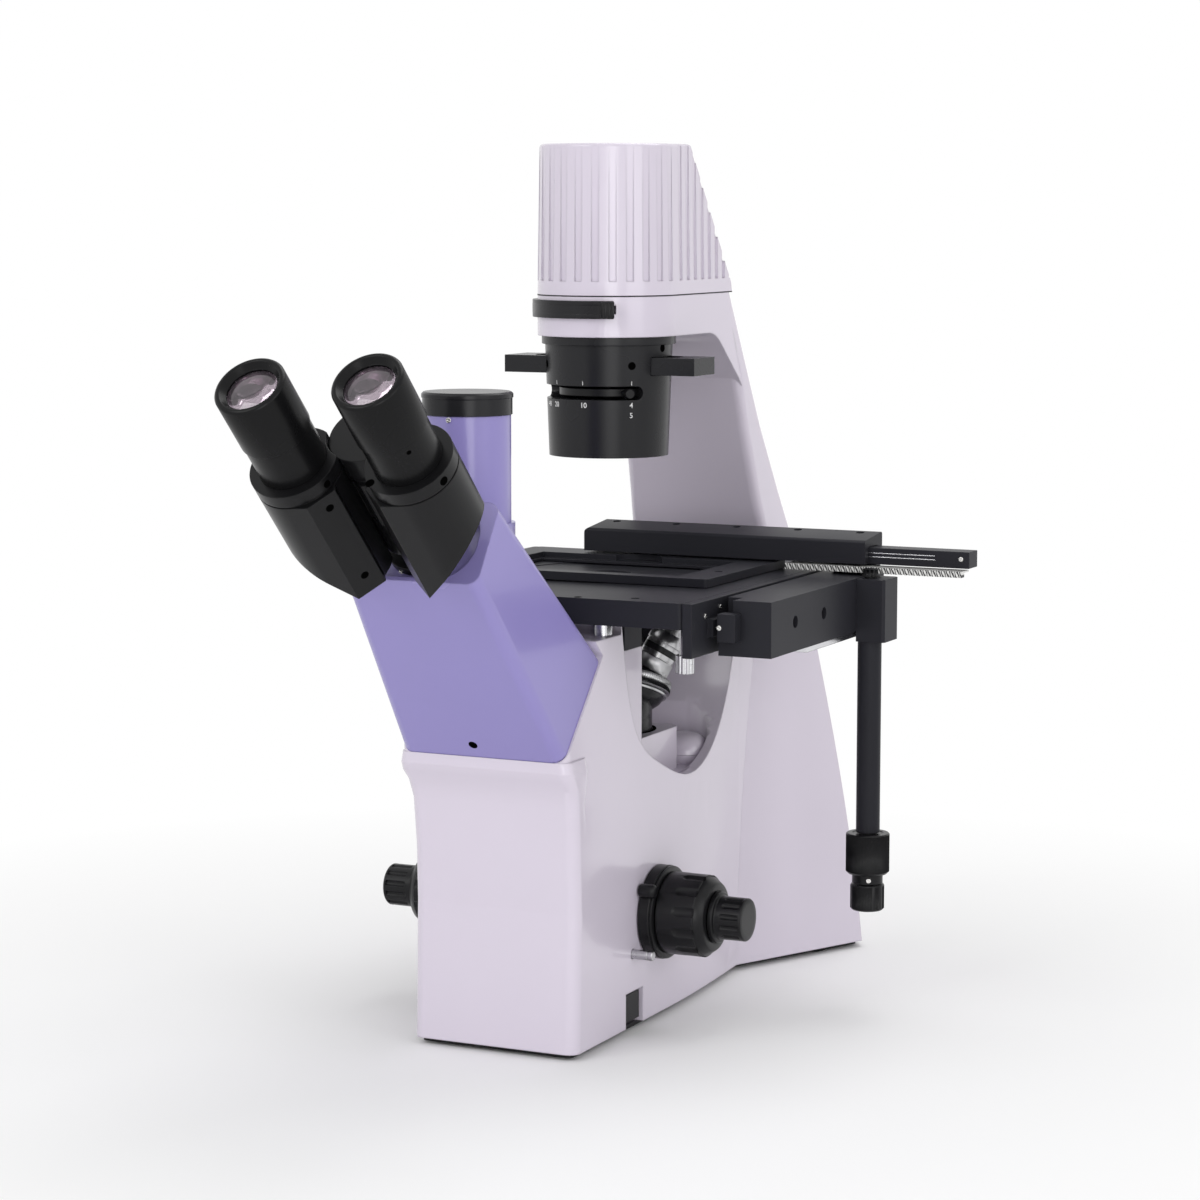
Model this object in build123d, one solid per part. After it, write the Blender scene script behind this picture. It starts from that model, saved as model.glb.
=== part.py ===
from build123d import *
import math
import os

# Inverted microscope, millimetres. While it is modelled, X = 0 is the plane of
# symmetry (X to the right seen from the front), Y = 0 is the optical axis (Y to
# the back) and Z = 0 is the bench. On export all pieces move by SHIFT_X, SHIFT_Y
# so that the origin lies under the centre of the whole bounding box.
SHIFT_X = -42.0
SHIFT_Y = 85.1

# Fits
RUN = 0.05            # radial clearance of a shaft in its bore
SLIP = 0.3            # gap between plain moving faces
SEAT = 0.3            # gap between a seated piece and its pocket wall

# Base casting
FOOT_R = 11.0
FOOT_H = 4.0
FOOT_FRONT_X = 36.0
FOOT_FRONT_Y = -126.0
FOOT_REAR_X = 64.0
FOOT_REAR_Y = 172.0
BASE_Z = FOOT_H
PLATE_T = 2.4
PLATE_INSET = 4.0
FRONT_Y = -155.0
FRONT_BOW = 2.6
FRONT_HALF = 52.7
FRONT_CORNER = 7.0
NOSE_BACK_Y = -144.0
WALL_X = FRONT_HALF
CRADLE_LOW = (-167.0, 174.5)
CRADLE_HIGH = (-118.0, 229.7)
WAIST_HALF = 46.0
WAIST_Y = 95.0
REAR_HALF = 93.0
REAR_Y = 204.0
SHOULDER_Z = 239.0
COLUMN_Y = -94.0
BAY_HALF = 44.0
BAY_FLOOR_Z = 141.0
CORE_Y = -47.0
CORE_Z = 226.0
BLOCK_Z = 167.0
BLOCK_Y = 31.0
BLOCK_HALF = 34.5
NOSE_Z = 175.0
RELAY_R = 16.0
RELAY_START = (-20.0, 96.0)
RELAY_END = (-142.4, 202.3)
MIRROR_Z = 78.6
MIRROR_TILT = 24.5
MIRROR_T = 5.0
ROCKER_Y = -75.0
ROCKER_Z = 15.5
ROCKER_DEEP = 8.0
ROCKER_PIVOT = 4.6
ROCKER_PIN_R = 1.5

# Stage
STAGE_TOP_Z = 263.0
STAGE_T = 15.0
STAGE_HALF = 105.0
STAGE_FRONT_Y = -125.0
STAGE_BACK_Y = 115.0
STAGE_BORE_R = 55.0
STAGE_Z = STAGE_TOP_Z - STAGE_T

# Pillar, arm and lamp house
PILLAR_HALF = 43.0
PILLAR_FOOT_HALF = 50.0
ARM_Z = 407.0
ARM_TOP_Z = 431.0
ARM_FILLET = 30.0
LAMP_H = 90.0
LAMP_TOP_Z = ARM_TOP_Z + LAMP_H
LAMP_WALL = 3.0
PILLAR_CORNER = 6.0
LAMP_BACK_Y = 87.0
LAMP_SEAT_Z = LAMP_TOP_Z - 35.0
LIGHT_BORE_R = 24.0
RIB_PITCH = 10.6
RIB_DEPTH = 1.5
RIB_GROOVE = 4.4
RIB_Z = ARM_TOP_Z + 9.0

# Field diaphragm: angles about the optical axis, from the front to the right
IRIS_Z = ARM_TOP_Z - 7.6
IRIS_BORE_R = 30.0
LEVER_START = -62.0
LEVER_END = 31.0
LEVER_REST = 24.5
BAND_START = -82.0
BAND_END = 29.0
BAND_R = 46.0
BAND_H = 10.6
THUMB = 8.0

# Binocular head: hinge axis through HINGE_Y, HINGE_Z, leaning 45 degrees to the user
HINGE_Y = -231.5
HINGE_Z = 300.5
HEAD_TILT = 45.0
HEAD_TURN = 4.5
TUBE_A = 33.5         # half of the distance between the eyepieces, as set
TUBE_B = -22.0
COLLAR_R = 24.5
TUBE_R = 18.8
EYEPIECE_R = 19.6
BARREL_R = 15.0
BOX_W0 = 13.0
BOX_W1 = 88.0
COLLAR_W = BOX_W1 + 9.0
EYEPIECE_W = COLLAR_W + 25.0
EYEPIECE_H = 35.5
RIM_W = EYEPIECE_W + EYEPIECE_H
FLANGE_TURN_R = 20.5
PIVOT_R = 14.0
ARM_RING_R = 19.0
DISC_R = 20.0
DISC_W = (BOX_W1 - 10.0, BOX_W1 + 6.0)
CUT_W = 8.0
RING_H = (BOX_W1 - 32.0) / 2
RIGHT_RING = (BOX_W0 + 3.0, BOX_W0 + 3.0 + RING_H)
LEFT_RING = (BOX_W0 + 5.0 + RING_H, BOX_W0 + 5.0 + 2 * RING_H)
HEAD_BORE_R = 15.0
HEAD_FACE_LOW = (-251.5, 284.0)
HEAD_FACE_HIGH = (-224.0, 325.5)
HEAD_FACE_HALF = 42.0

# Camera port on the head
PHOTO_Y = -182.5
PHOTO_R = 24.3
PHOTO_BORE_R = 18.0
PHOTO_Z = 310.0
PHOTO_TOP_Z = 370.0
CAP_R = 25.6
CAP_TOP_Z = 382.7
PRISM_HALF = 11.0
PRISM_Z = 240.0

# Nosepiece
TURRET_TILT = 22.0
OBJECTIVE_CIRCLE_R = 19.5
SHOULDER_W = 52.0     # from the crossing of the objective axes to the screw-in face
APEX_Z = 157.5
TURRET_R = 32.0
RIM_LOW_W = -13.0
SLEEVE_R = 26.5
FOCUS_TRAVEL = 4.5

# Focus drive
FOCUS_Y = -45.0
FOCUS_Z = 67.0
SHAFT_R = 5.0
COARSE_R = 24.5
PINION_R = 6.9
SPINDLE_R = 2.5
PINION_X = (23.0, 31.0)
FINE_R = 12.8
COLLAR_RING_R = 28.0
RIGHT_FACE = 92.0
LEFT_FACE = 104.0
RIGHT_END = 112.5
LEFT_END = 127.0
PATH_ROD_R = 3.0
PATH_ROD_Y = -77.3
PATH_ROD_Z = 47.4

# Mechanical stage
CARRIAGE_X = STAGE_HALF + 10.5
CARRIAGE_END_X = CARRIAGE_X + 32.5
CARRIAGE_FRONT_Y = -98.0
CARRIAGE_BACK_Y = 80.0
CARRIAGE_Z = 231.0
POST_X = CARRIAGE_END_X + 5.5
POST_Y = 42.5
POST_R = 7.2
POST_BOTTOM_Z = 108.0
Y_SHAFT_R = 5.5
X_SHAFT_R = 3.35
Y_PINION_R = 6.2
X_PINION_R = 4.6
RAIL_Z = 269.7
RAIL_LEFT_X = -41.0
RAIL_RIGHT_X = CARRIAGE_END_X - 1.0
RAIL_FRONT_Y = 50.0
RAIL_BACK_Y = 79.0
BAR_END_X = POST_X + 57.5
BAR_LENGTH = 190.0
BAR_Y0 = 56.0
BAR_Y1 = 71.0
BAR_Z0 = 269.4
BAR_Z1 = 279.4
HOLDER_T = 5.0
HOLDER_Z = STAGE_TOP_Z + 0.4
RACK_X0 = POST_X - 57.5
RACK_Y = 47.4
TOOTH = 2.9

# Condenser
CONDENSER_H = 67.0
CONDENSER_Z = ARM_Z - 5.0 - CONDENSER_H
CONDENSER_R = 36.0
CONDENSER_TOP_R = 38.5
FLANGE_R = 40.5
SLIDER_Z = ARM_Z - 17.7
SLIDER_T = 10.4
SLIDER_W = 30.0
SLIDER_HALF = 63.0
APERTURE_Z = ARM_Z - 33.3
APERTURE_SLOT_H = 8.2
APERTURE_BORE_R = 30.0
APERTURE_START = -80.0
APERTURE_END = 52.0
APERTURE_REST = 42.0


def rod(radius, z0, z1, x=0.0, y=0.0):
    """Upright round bar between two heights."""
    return Pos(x, y, (z0 + z1) / 2) * Cylinder(radius, z1 - z0)


def rod_x(radius, x0, x1, y, z):
    """Round bar along X."""
    return Pos((x0 + x1) / 2, y, z) * Rot(0, 90, 0) * Cylinder(radius, x1 - x0)


def rod_y(radius, y0, y1, x, z):
    """Round bar along Y."""
    return Pos(x, (y0 + y1) / 2, z) * Rot(90, 0, 0) * Cylinder(radius, y1 - y0)


def block(x0, x1, y0, y1, z0, z1):
    """Plain block given by its two corners."""
    return Pos((x0 + x1) / 2, (y0 + y1) / 2, (z0 + z1) / 2) * Box(x1 - x0, y1 - y0, z1 - z0)


def slab_x(points, half_width):
    """Side outline (Y, Z) pushed out both ways along X."""
    return extrude(make_face(Plane.YZ * Polyline(*points, close=True)), half_width, both=True)


def turned(points):
    """Revolve an outline (radius, height) about the Z axis of the model."""
    return revolve(make_face(Plane.XZ * Polyline(*points, close=True)), Axis.Z)


def flutes(radius, height, count, depth, phase=0.0):
    """Knob blank with rounded flutes all round, standing on Z = 0."""
    knob = Cylinder(radius, height, align=(Align.CENTER, Align.CENTER, Align.MIN))
    cutter_r = math.pi * radius / count * 0.62
    cutter = Cylinder(cutter_r, height * 3)
    ring = PolarLocations(radius + cutter_r - depth, count, start_angle=phase)
    return knob - [spot * cutter for spot in ring]


# Frame of the binocular head: a to the right, b up and back, w out along the tubes
tilt = math.radians(HEAD_TILT)
turn = math.radians(HEAD_TURN)
u_dir = Vector(0, -math.sin(tilt), math.cos(tilt))
v_dir = Vector(0, math.cos(tilt), math.sin(tilt))
a_dir = Vector(1, 0, 0) * math.cos(turn) + v_dir * math.sin(turn)
HEAD = Plane(origin=(0, HINGE_Y, HINGE_Z), x_dir=a_dir, z_dir=u_dir)
HEAD_SQUARE = Plane(origin=(0, HINGE_Y, HINGE_Z), x_dir=(1, 0, 0), z_dir=u_dir)

# Frame of the turret: centre of the screw-in face, axis leaning to the back
lean = math.radians(TURRET_TILT)
turret_up = Vector(0, math.sin(lean), math.cos(lean))
turret_centre = Vector(0, 0, APEX_Z) + turret_up * (SHOULDER_W * math.cos(lean))
TURRET = Plane(origin=turret_centre, x_dir=(1, 0, 0), z_dir=turret_up)

# Frame of the lower mirror and direction of the relay tube
mirror_lean = math.radians(MIRROR_TILT)
MIRROR = Plane(origin=(0, 0, MIRROR_Z), x_dir=(1, 0, 0), z_dir=(0, -math.sin(mirror_lean), math.cos(mirror_lean)))
relay = Vector(0, RELAY_END[0] - RELAY_START[0], RELAY_END[1] - RELAY_START[1])
RELAY_LENGTH = relay.length
RELAY_DIR = relay.normalized()

parts = {}


def base_plate():
    """Black sheet under the casting, with four holes round the feet."""
    outline = offset(plan_face(BASE_Z), -PLATE_INSET)
    plate = Pos(0, 0, -PLATE_T) * extrude(outline, PLATE_T)
    for x, y in foot_places():
        plate -= rod(FOOT_R + SEAT, 0, FOOT_H + 1, x, y)
    return plate


def foot_places():
    return [(side * x, y) for x, y in ((FOOT_FRONT_X, FOOT_FRONT_Y), (FOOT_REAR_X, FOOT_REAR_Y))
            for side in (-1, 1)]


def plan_face(z):
    """Footprint of the casting: straight sides, waist, flared back."""
    right = [(FRONT_HALF, FRONT_Y), (FRONT_HALF, -20), (WAIST_HALF, WAIST_Y), (REAR_HALF, REAR_Y - 12),
             (REAR_HALF - 7, REAR_Y)]
    left = [(-x, y) for x, y in reversed(right)]
    face = make_face(Pos(0, 0, z) * Polyline(*right, *left, close=True))
    corners = face.vertices().sort_by(Axis.Y)
    return fillet(corners[:2], FRONT_CORNER)


def level_box(z, front_y, back_y, half, corner):
    """One level of a lofted piece: a rectangle with rounded corners."""
    return Pos(0, (front_y + back_y) / 2, z) * RectangleRounded(2 * half, back_y - front_y, corner)


def rubber_feet():
    return [rod(FOOT_R, 0, FOOT_H, x, y) for x, y in foot_places()]


def front_outline():
    """Front part of the casting seen from above, narrowing to the waist."""
    with BuildSketch() as sketch:
        with BuildLine():
            Line((0, NOSE_BACK_Y), (FRONT_HALF, NOSE_BACK_Y))
            Line((FRONT_HALF, NOSE_BACK_Y), (FRONT_HALF, -30))
            Spline((FRONT_HALF, -30), (50.5, 36), (WAIST_HALF, WAIST_Y), tangents=((0, 1), (-0.08, 1)))
            Line((WAIST_HALF, WAIST_Y), (WAIST_HALF - 1, WAIST_Y + 40))
            Line((WAIST_HALF - 1, WAIST_Y + 40), (0, WAIST_Y + 40))
            Line((0, WAIST_Y + 40), (0, NOSE_BACK_Y))
        make_face()
        mirror(about=Plane.YZ)
    return sketch.sketch


def skirt_section(z, front_half, front_y, rear_half, rear_y):
    """One level of the flared rear of the casting."""
    points = [(-front_half, front_y), (front_half, front_y), (rear_half, rear_y - 12), (rear_half - 7, rear_y),
              (7 - rear_half, rear_y), (-rear_half, rear_y - 12)]
    return Pos(0, 0, z) * make_face(Polyline(*points, close=True))


def along(start, direction, radius, length):
    """Round bar from a point (Y, Z) in the plane of symmetry."""
    frame = Plane(origin=(0, *start), x_dir=(1, 0, 0), z_dir=direction)
    return frame * Cylinder(radius, length, align=(Align.CENTER, Align.CENTER, Align.MIN))


def cast_body():
    """Outer shape of the main casting, before the hollows."""
    top = STAGE_Z
    nose = loft([level_box(z, y, -138 if half > FRONT_HALF else -132, half, FRONT_CORNER)
                 for z, y, half in ((BASE_Z, FRONT_Y, FRONT_HALF), (85, FRONT_Y + FRONT_BOW, FRONT_HALF),
                                    (118, -153.5, FRONT_HALF), (146, -156.0, 53.2), (157, -159.6, 54.4),
                                    (163, -164.8, 55.2), (168, -167.0, 55.0), (CRADLE_LOW[1], -167.4, 53.6))],
                ruled=True)
    wedge = slab_x([CRADLE_LOW, CRADLE_HIGH, (CRADLE_HIGH[0], 150), (-140, 150), (-160, 168)], FRONT_HALF)
    wedge &= extrude(level_box(140, CRADLE_LOW[0] - 0.4, -60, FRONT_HALF, FRONT_CORNER), 110)
    side = [(NOSE_BACK_Y, BASE_Z), (NOSE_BACK_Y, 200), CRADLE_HIGH, (-128.0, SHOULDER_Z), (COLUMN_Y, SHOULDER_Z),
            (COLUMN_Y, top), (WAIST_Y + 26, top), (WAIST_Y + 10, BASE_Z)]
    front = extrude(Pos(0, 0, BASE_Z) * front_outline(), top - BASE_Z) & slab_x(side, 80)
    skirt = loft([skirt_section(BASE_Z, WAIST_HALF, WAIST_Y - 3, REAR_HALF, REAR_Y),
                  skirt_section(95, WAIST_HALF, WAIST_Y + 4, REAR_HALF - 12.5, REAR_Y - 1),
                  skirt_section(185, WAIST_HALF - 0.5, WAIST_Y + 20, REAR_HALF - 28.7, REAR_Y - 5),
                  skirt_section(top, WAIST_HALF - 1, WAIST_Y + 38, REAR_HALF - 40.2, REAR_Y - 12)])
    return nose + wedge + front + skirt


def stand_base():
    """Main casting: front box with the cradle for the head, bay for the nosepiece, flared rear."""
    top = STAGE_Z
    casting = cast_body()
    with BuildSketch(Plane.YZ) as bay:
        with BuildLine():
            Spline((COLUMN_Y, SHOULDER_Z + 10), (-86, 211), (-68, 173), (-34, 153), (8, 142), (40, 151),
                   (70, 181), (88, 222), (WAIST_Y, top + 2))
            Line((WAIST_Y, top + 2), (COLUMN_Y, SHOULDER_Z + 10))
        make_face()
    casting -= extrude(bay.sketch, 90, both=True)
    pocket = block(-BAY_HALF, BAY_HALF, CORE_Y, 66, BAY_FLOOR_Z, top + 1)
    casting -= fillet(pocket.edges().filter_by(Axis.Z).sort_by(Axis.Y)[2:], 22)
    casting += block(-BAY_HALF, BAY_HALF, COLUMN_Y - 10, CORE_Y, BAY_FLOOR_Z - 10, CORE_Z)
    pedestal = block(-BLOCK_HALF, BLOCK_HALF, CORE_Y - 1, BLOCK_Y, BAY_FLOOR_Z - 1, BLOCK_Z)
    casting += fillet(pedestal.edges().filter_by(Axis.Z).sort_by(Axis.Y)[2:], 8)
    return cut_hollows(casting)


def cut_hollows(casting):
    """Light path, focus drive, rod, rocker and inlet pockets in the casting."""
    casting -= rod(SLEEVE_R + RUN, 112, BLOCK_Z + 1)
    chamber = block(-20, 20, -22, 24, 55, 118)
    casting -= chamber - MIRROR * (Pos(0, 0, -MIRROR_T - 30) * Box(60, 80, 60))
    casting -= along(RELAY_START, RELAY_DIR, RELAY_R + RUN, RELAY_LENGTH + 20)
    x0, x1 = PINION_X
    casting -= block(x0 - 1.5, x1 + 2, FOCUS_Y + 5.5, -6, 45, 134)
    casting -= rod_x(PINION_R + 1.3, x0 - 1.5, x1 + 2, FOCUS_Y, FOCUS_Z)
    casting -= rod_x(SHAFT_R + RUN, -WALL_X - 2, WALL_X + 2, FOCUS_Y, FOCUS_Z)
    casting -= rod_x(PATH_ROD_R + RUN, 8, WALL_X + 2, PATH_ROD_Y, PATH_ROD_Z)
    casting -= block(WALL_X - ROCKER_DEEP, WALL_X + 2, ROCKER_Y - 12, ROCKER_Y + 12, BASE_Z - 1, 25)
    casting -= rod_y(ROCKER_PIN_R + RUN, ROCKER_Y - 16, ROCKER_Y + 16, WALL_X - ROCKER_PIVOT, ROCKER_Z)
    return casting - block(-16 - SEAT, 16 + SEAT, REAR_Y - 15, REAR_Y + 2, 24 - SEAT, 50 + SEAT)


def pillar_arm():
    """Leaning pillar and arm in one casting, with the round front end over the condenser."""
    levels = ((STAGE_Z, 142, REAR_Y - 13, PILLAR_FOOT_HALF), (300, 124, 163, 45.5), (345, 110, 137.5, PILLAR_HALF),
              (383, 97, 115, PILLAR_HALF), (ARM_TOP_Z, 69, LAMP_BACK_Y, PILLAR_HALF))
    pillar = loft([level_box(*level, PILLAR_CORNER) for level in levels], ruled=True)
    side = make_face(Plane.YZ * Polyline((0, ARM_Z), (62, ARM_Z), (99, 377), (104, 372), (78, ARM_TOP_Z),
                                         (0, ARM_TOP_Z), close=True))
    inner = side.vertices().sort_by_distance((0, 62, ARM_Z))[:1]
    pillar += extrude(fillet(inner, ARM_FILLET), PILLAR_HALF, both=True)
    arm = pillar + rod(PILLAR_HALF, ARM_Z, ARM_TOP_Z)
    arm -= rod(IRIS_BORE_R, IRIS_Z - 6, IRIS_Z + 6)
    arm -= rod(LIGHT_BORE_R, ARM_Z - 1, ARM_TOP_Z + 1)
    slot = sector(PILLAR_HALF + 5, LEVER_START, LEVER_END, IRIS_Z - 2.6, IRIS_Z + 2.6)
    return arm - slot


def sector(radius, start, end, z0, z1):
    """Pie slice about the optical axis; angles from the front, to the right."""
    steps = 8
    swing = [math.radians(start + (end - start) * i / steps) for i in range(steps + 1)]
    rim = [(radius * 1.1 * math.sin(t), -radius * 1.1 * math.cos(t)) for t in swing]
    wedge = extrude(Pos(0, 0, z0) * make_face(Polyline((0, 0), *rim, close=True)), z1 - z0)
    return wedge & rod(radius, z0 - 1, z1 + 1)


def arc_band(inner, outer, start, end, z0, z1):
    """Piece of a ring about the optical axis."""
    return sector(outer, start, end, z0, z1) - rod(inner, z0 - 1, z1 + 1)


def lamp_house_cover():
    """Ribbed cover: round front, back wall leaning forward, open below and hollow."""
    def hull(half, back, top, draft):
        plan = Pos(0, 0, ARM_TOP_Z) * (make_face(Polyline((-half, 0), (half, 0), (half, 120), (-half, 120),
                                                         close=True)) + Circle(half))
        bulk = extrude(plan, top - ARM_TOP_Z, taper=draft)
        wedge = slab_x([(-60, ARM_TOP_Z), (back, ARM_TOP_Z), (back - 1, ARM_TOP_Z + 6),
                        (back - 61, LAMP_TOP_Z), (-60, LAMP_TOP_Z)], 60)
        return bulk & wedge
    shell = hull(PILLAR_HALF, LAMP_BACK_Y, LAMP_TOP_Z, 0.9)
    top = shell.faces().sort_by(Axis.Z)[-1]
    shell = fillet(top.edges(), 2.2)
    for step in range(-6, 7):
        spot = Pos(0, 0, RIB_Z) * Rot(0, 0, step * 14.2) * Pos(0, -PILLAR_HALF, 0)
        shell -= spot * Pos(0, 0, 60) * Box(RIB_GROOVE, 2 * RIB_DEPTH, 120)
    for row in range(8):
        y = RIB_PITCH * (row + 1)
        for side in (-1, 1):
            shell -= Pos(side * (PILLAR_HALF - 0.3), y, RIB_Z + 60) * Box(2 * RIB_DEPTH, RIB_GROOVE, 120)
    return shell - hull(PILLAR_HALF - LAMP_WALL - RIB_DEPTH, LAMP_BACK_Y - 6, LAMP_TOP_Z - 4, 0.9)


def lamp_tube():
    """Black tube on the arm that carries the collector lens and the lamp."""
    return turned([(26, ARM_TOP_Z), (34, ARM_TOP_Z), (34, ARM_TOP_Z + 4), (24, ARM_TOP_Z + 4),
                   (24, LAMP_SEAT_Z), (20, LAMP_SEAT_Z), (20, ARM_TOP_Z + 22), (18, ARM_TOP_Z + 22),
                   (18, ARM_TOP_Z + 18), (20, ARM_TOP_Z + 18), (20, ARM_TOP_Z + 4), (26, ARM_TOP_Z + 4)])


def led_module():
    """Finned heat sink with the light source under it, seated on the lamp tube."""
    sink = rod(24, LAMP_SEAT_Z, LAMP_SEAT_Z + 16)
    for i in range(-3, 4):
        sink -= block(i * 6 - 1.5, i * 6 + 1.5, -30, 30, LAMP_SEAT_Z + 5, LAMP_SEAT_Z + 20)
    return sink + rod(9, LAMP_SEAT_Z - 3, LAMP_SEAT_Z)


def lens(radius, rim, z, over, under):
    """Lens about the optical axis, standing on Z = z at its rim, bulging over and under."""
    glass = rod(radius, z - under, z + rim + over)
    if over:
        r = (radius ** 2 + over ** 2) / (2 * over)
        glass &= Pos(0, 0, z + rim + over - r) * Sphere(r)
    if under:
        r = (radius ** 2 + under ** 2) / (2 * under)
        glass &= Pos(0, 0, z - under + r) * Sphere(r)
    return glass


def collector_lens():
    return lens(20 - RUN, 3.0, ARM_TOP_Z + 22, 4.0, 0)


def diaphragm_band():
    """Black scale band fixed round the front of the arm, slotted for the lever."""
    band = arc_band(PILLAR_HALF, BAND_R, BAND_START, BAND_END, IRIS_Z - BAND_H / 2, IRIS_Z + BAND_H / 2)
    return band - sector(BAND_R + 5, LEVER_START, LEVER_END - 3.5, IRIS_Z - 2.6, IRIS_Z + 2.6)


def diaphragm_lever():
    """Iris ring inside the arm with its arm through the slot and the thumb block outside."""
    ring = rod(IRIS_BORE_R - 0.1, IRIS_Z - 2.2, IRIS_Z + 2.2) - rod(LIGHT_BORE_R - 8, IRIS_Z - 5, IRIS_Z + 5)
    arm = block(-2, 2, -BAND_R - 1.5, -IRIS_BORE_R + 2, IRIS_Z - 2.0, IRIS_Z + 2.0)
    thumb = block(-THUMB / 2, THUMB / 2, -BAND_R - 5, -BAND_R - SLIP, IRIS_Z - 5, IRIS_Z + 5)
    return ring + Rot(0, 0, LEVER_REST) * (arm + thumb)


def condenser_mount():
    """Black flange screwed under the arm."""
    return turned([(19, ARM_Z - 8), (34, ARM_Z - 8), (34, ARM_Z - 5), (FLANGE_R, ARM_Z - 5), (FLANGE_R, ARM_Z),
                   (19, ARM_Z)])


def condenser_body():
    """Tapered black housing, slotted for the slider and for the aperture lever."""
    top = ARM_Z - 5
    body = turned([(0, CONDENSER_Z), (CONDENSER_R, CONDENSER_Z), (CONDENSER_TOP_R, top), (0, top)])
    body -= rod(34 + RUN, top - 3, top + 1)
    body -= rod(20, CONDENSER_Z + 14, top + 1) + rod(24, CONDENSER_Z - 1, CONDENSER_Z + 9)
    body -= rod(21.5, CONDENSER_Z + 8, CONDENSER_Z + 14.1)
    body -= block(-60, 60, -SLIDER_W / 2 - SLIP, SLIDER_W / 2 + SLIP, SLIDER_Z - SLIDER_T / 2 - SLIP,
                  SLIDER_Z + SLIDER_T / 2 + SLIP)
    body -= rod(APERTURE_BORE_R, APERTURE_Z - 3, APERTURE_Z + 3)
    body -= sector(CONDENSER_TOP_R + 5, APERTURE_START, APERTURE_END, APERTURE_Z - APERTURE_SLOT_H / 2,
                   APERTURE_Z + APERTURE_SLOT_H / 2)
    round_end = rod_y(APERTURE_SLOT_H / 2, -CONDENSER_TOP_R - 5, -20, 0, APERTURE_Z)
    return body - Rot(0, 0, APERTURE_START) * round_end - Rot(0, 0, APERTURE_END) * round_end


def aperture_lever():
    """Iris ring in the condenser with its pin and round knob in the slot."""
    ring = rod(APERTURE_BORE_R - 0.1, APERTURE_Z - 2.2, APERTURE_Z + 2.2) - rod(15, APERTURE_Z - 4, APERTURE_Z + 4)
    arm = rod_y(1.5, -CONDENSER_TOP_R - 2, -APERTURE_BORE_R + 2, 0, APERTURE_Z)
    knob = rod_y(2.6, -CONDENSER_TOP_R - 6, -CONDENSER_TOP_R + 2.4, 0, APERTURE_Z)
    return ring + Rot(0, 0, APERTURE_REST) * (arm + knob)


def condenser_lens():
    return lens(24 - RUN, 3.0, CONDENSER_Z + 6, 0, 3.0)


def phase_slider():
    """Long slider with three round openings through the condenser."""
    bar = block(-SLIDER_HALF, SLIDER_HALF, -SLIDER_W / 2, SLIDER_W / 2, SLIDER_Z - SLIDER_T / 2,
                SLIDER_Z + SLIDER_T / 2)
    for x in (-38, 0, 38):
        bar -= rod(10.5, SLIDER_Z - 10, SLIDER_Z + 10, x)
    return bar


def head_housing():
    """Head casting: tapers from the cradle up to the tilted mounting face inside a raised rim."""
    def level(p, q, half):
        return make_face(Polyline((-half, *p), (half, *p), (half, *q), (-half, *q), close=True))
    low = level(CRADLE_LOW, CRADLE_HIGH, 51.5)
    high = level(HEAD_FACE_LOW, HEAD_FACE_HIGH, HEAD_FACE_HALF)
    shell = loft([low, high], ruled=True)
    shell = fillet(shell.edges().sort_by(SortBy.LENGTH)[-4:], 7)
    recess = Pos(0, -0.9, 0) * extrude(RectangleRounded(70, 44.6, 20), 60)
    shell -= HEAD_SQUARE * recess
    shell += rod(PHOTO_R + 2.2, 268, PHOTO_Z, 0, PHOTO_Y)
    shell -= HEAD_SQUARE * (Pos(0, 0, -67) * Cylinder(HEAD_BORE_R, 136))
    shell -= rod(PHOTO_BORE_R, PRISM_Z, 320, 0, PHOTO_Y)
    return shell - rod(PHOTO_R + SEAT, PHOTO_Z, 400, 0, PHOTO_Y)


def photo_tube():
    return Pos(0, PHOTO_Y, 0) * turned([(PHOTO_BORE_R, PHOTO_Z), (PHOTO_R, PHOTO_Z), (PHOTO_R, PHOTO_TOP_Z),
                                        (PHOTO_BORE_R, PHOTO_TOP_Z)])


def photo_tube_cap():
    """Push-on dust cap with a lip at its top edge."""
    plug = PHOTO_BORE_R - RUN
    cap = turned([(0, PHOTO_TOP_Z - 4), (plug, PHOTO_TOP_Z - 4), (plug, PHOTO_TOP_Z),
                  (CAP_R - 0.5, PHOTO_TOP_Z), (CAP_R - 0.5, CAP_TOP_Z - 3.4), (CAP_R, CAP_TOP_Z - 3.4),
                  (CAP_R, CAP_TOP_Z - 1.2), (CAP_R - 1.2, CAP_TOP_Z), (0, CAP_TOP_Z)])
    return Pos(0, PHOTO_Y, 0) * cap


def rod_w(radius, w0, w1, a=0.0, b=0.0):
    """Round bar along the tube direction of the binocular head, in head coordinates."""
    return Pos(a, b, (w0 + w1) / 2) * Cylinder(radius, w1 - w0)


def binocular_flange():
    """Round flange with a spigot that lets the binocular head turn on the head housing."""
    flange = rod_w(FLANGE_TURN_R, SLIP, 6) + rod_w(HEAD_BORE_R - RUN, -4, 1)
    return HEAD * (flange - rod_w(10, -5, 7))


def hinge_pivot():
    """Central pivot of the two prism boxes with its cap disc and the front block."""
    pivot = rod_w(PIVOT_R, 6, DISC_W[0]) + rod_w(DISC_R, *DISC_W)
    pivot -= rod_w(10, 5, 60)
    start = RIGHT_RING[1] + 2
    front = Pos(0, -21.45, (start + DISC_W[0]) / 2) * Box(9, 4.1, DISC_W[0] - start)
    front = chamfer(front.edges().filter_by(Axis.Z).group_by(Axis.Y)[0], 3.0)
    link = Pos(0, -16.75, DISC_W[0] - 1.5) * Box(9, 13.5, 3)
    link = chamfer(link.edges().filter_by(Axis.Z).group_by(Axis.Y)[0], 3.0)
    return HEAD * (pivot + front + link)


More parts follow.
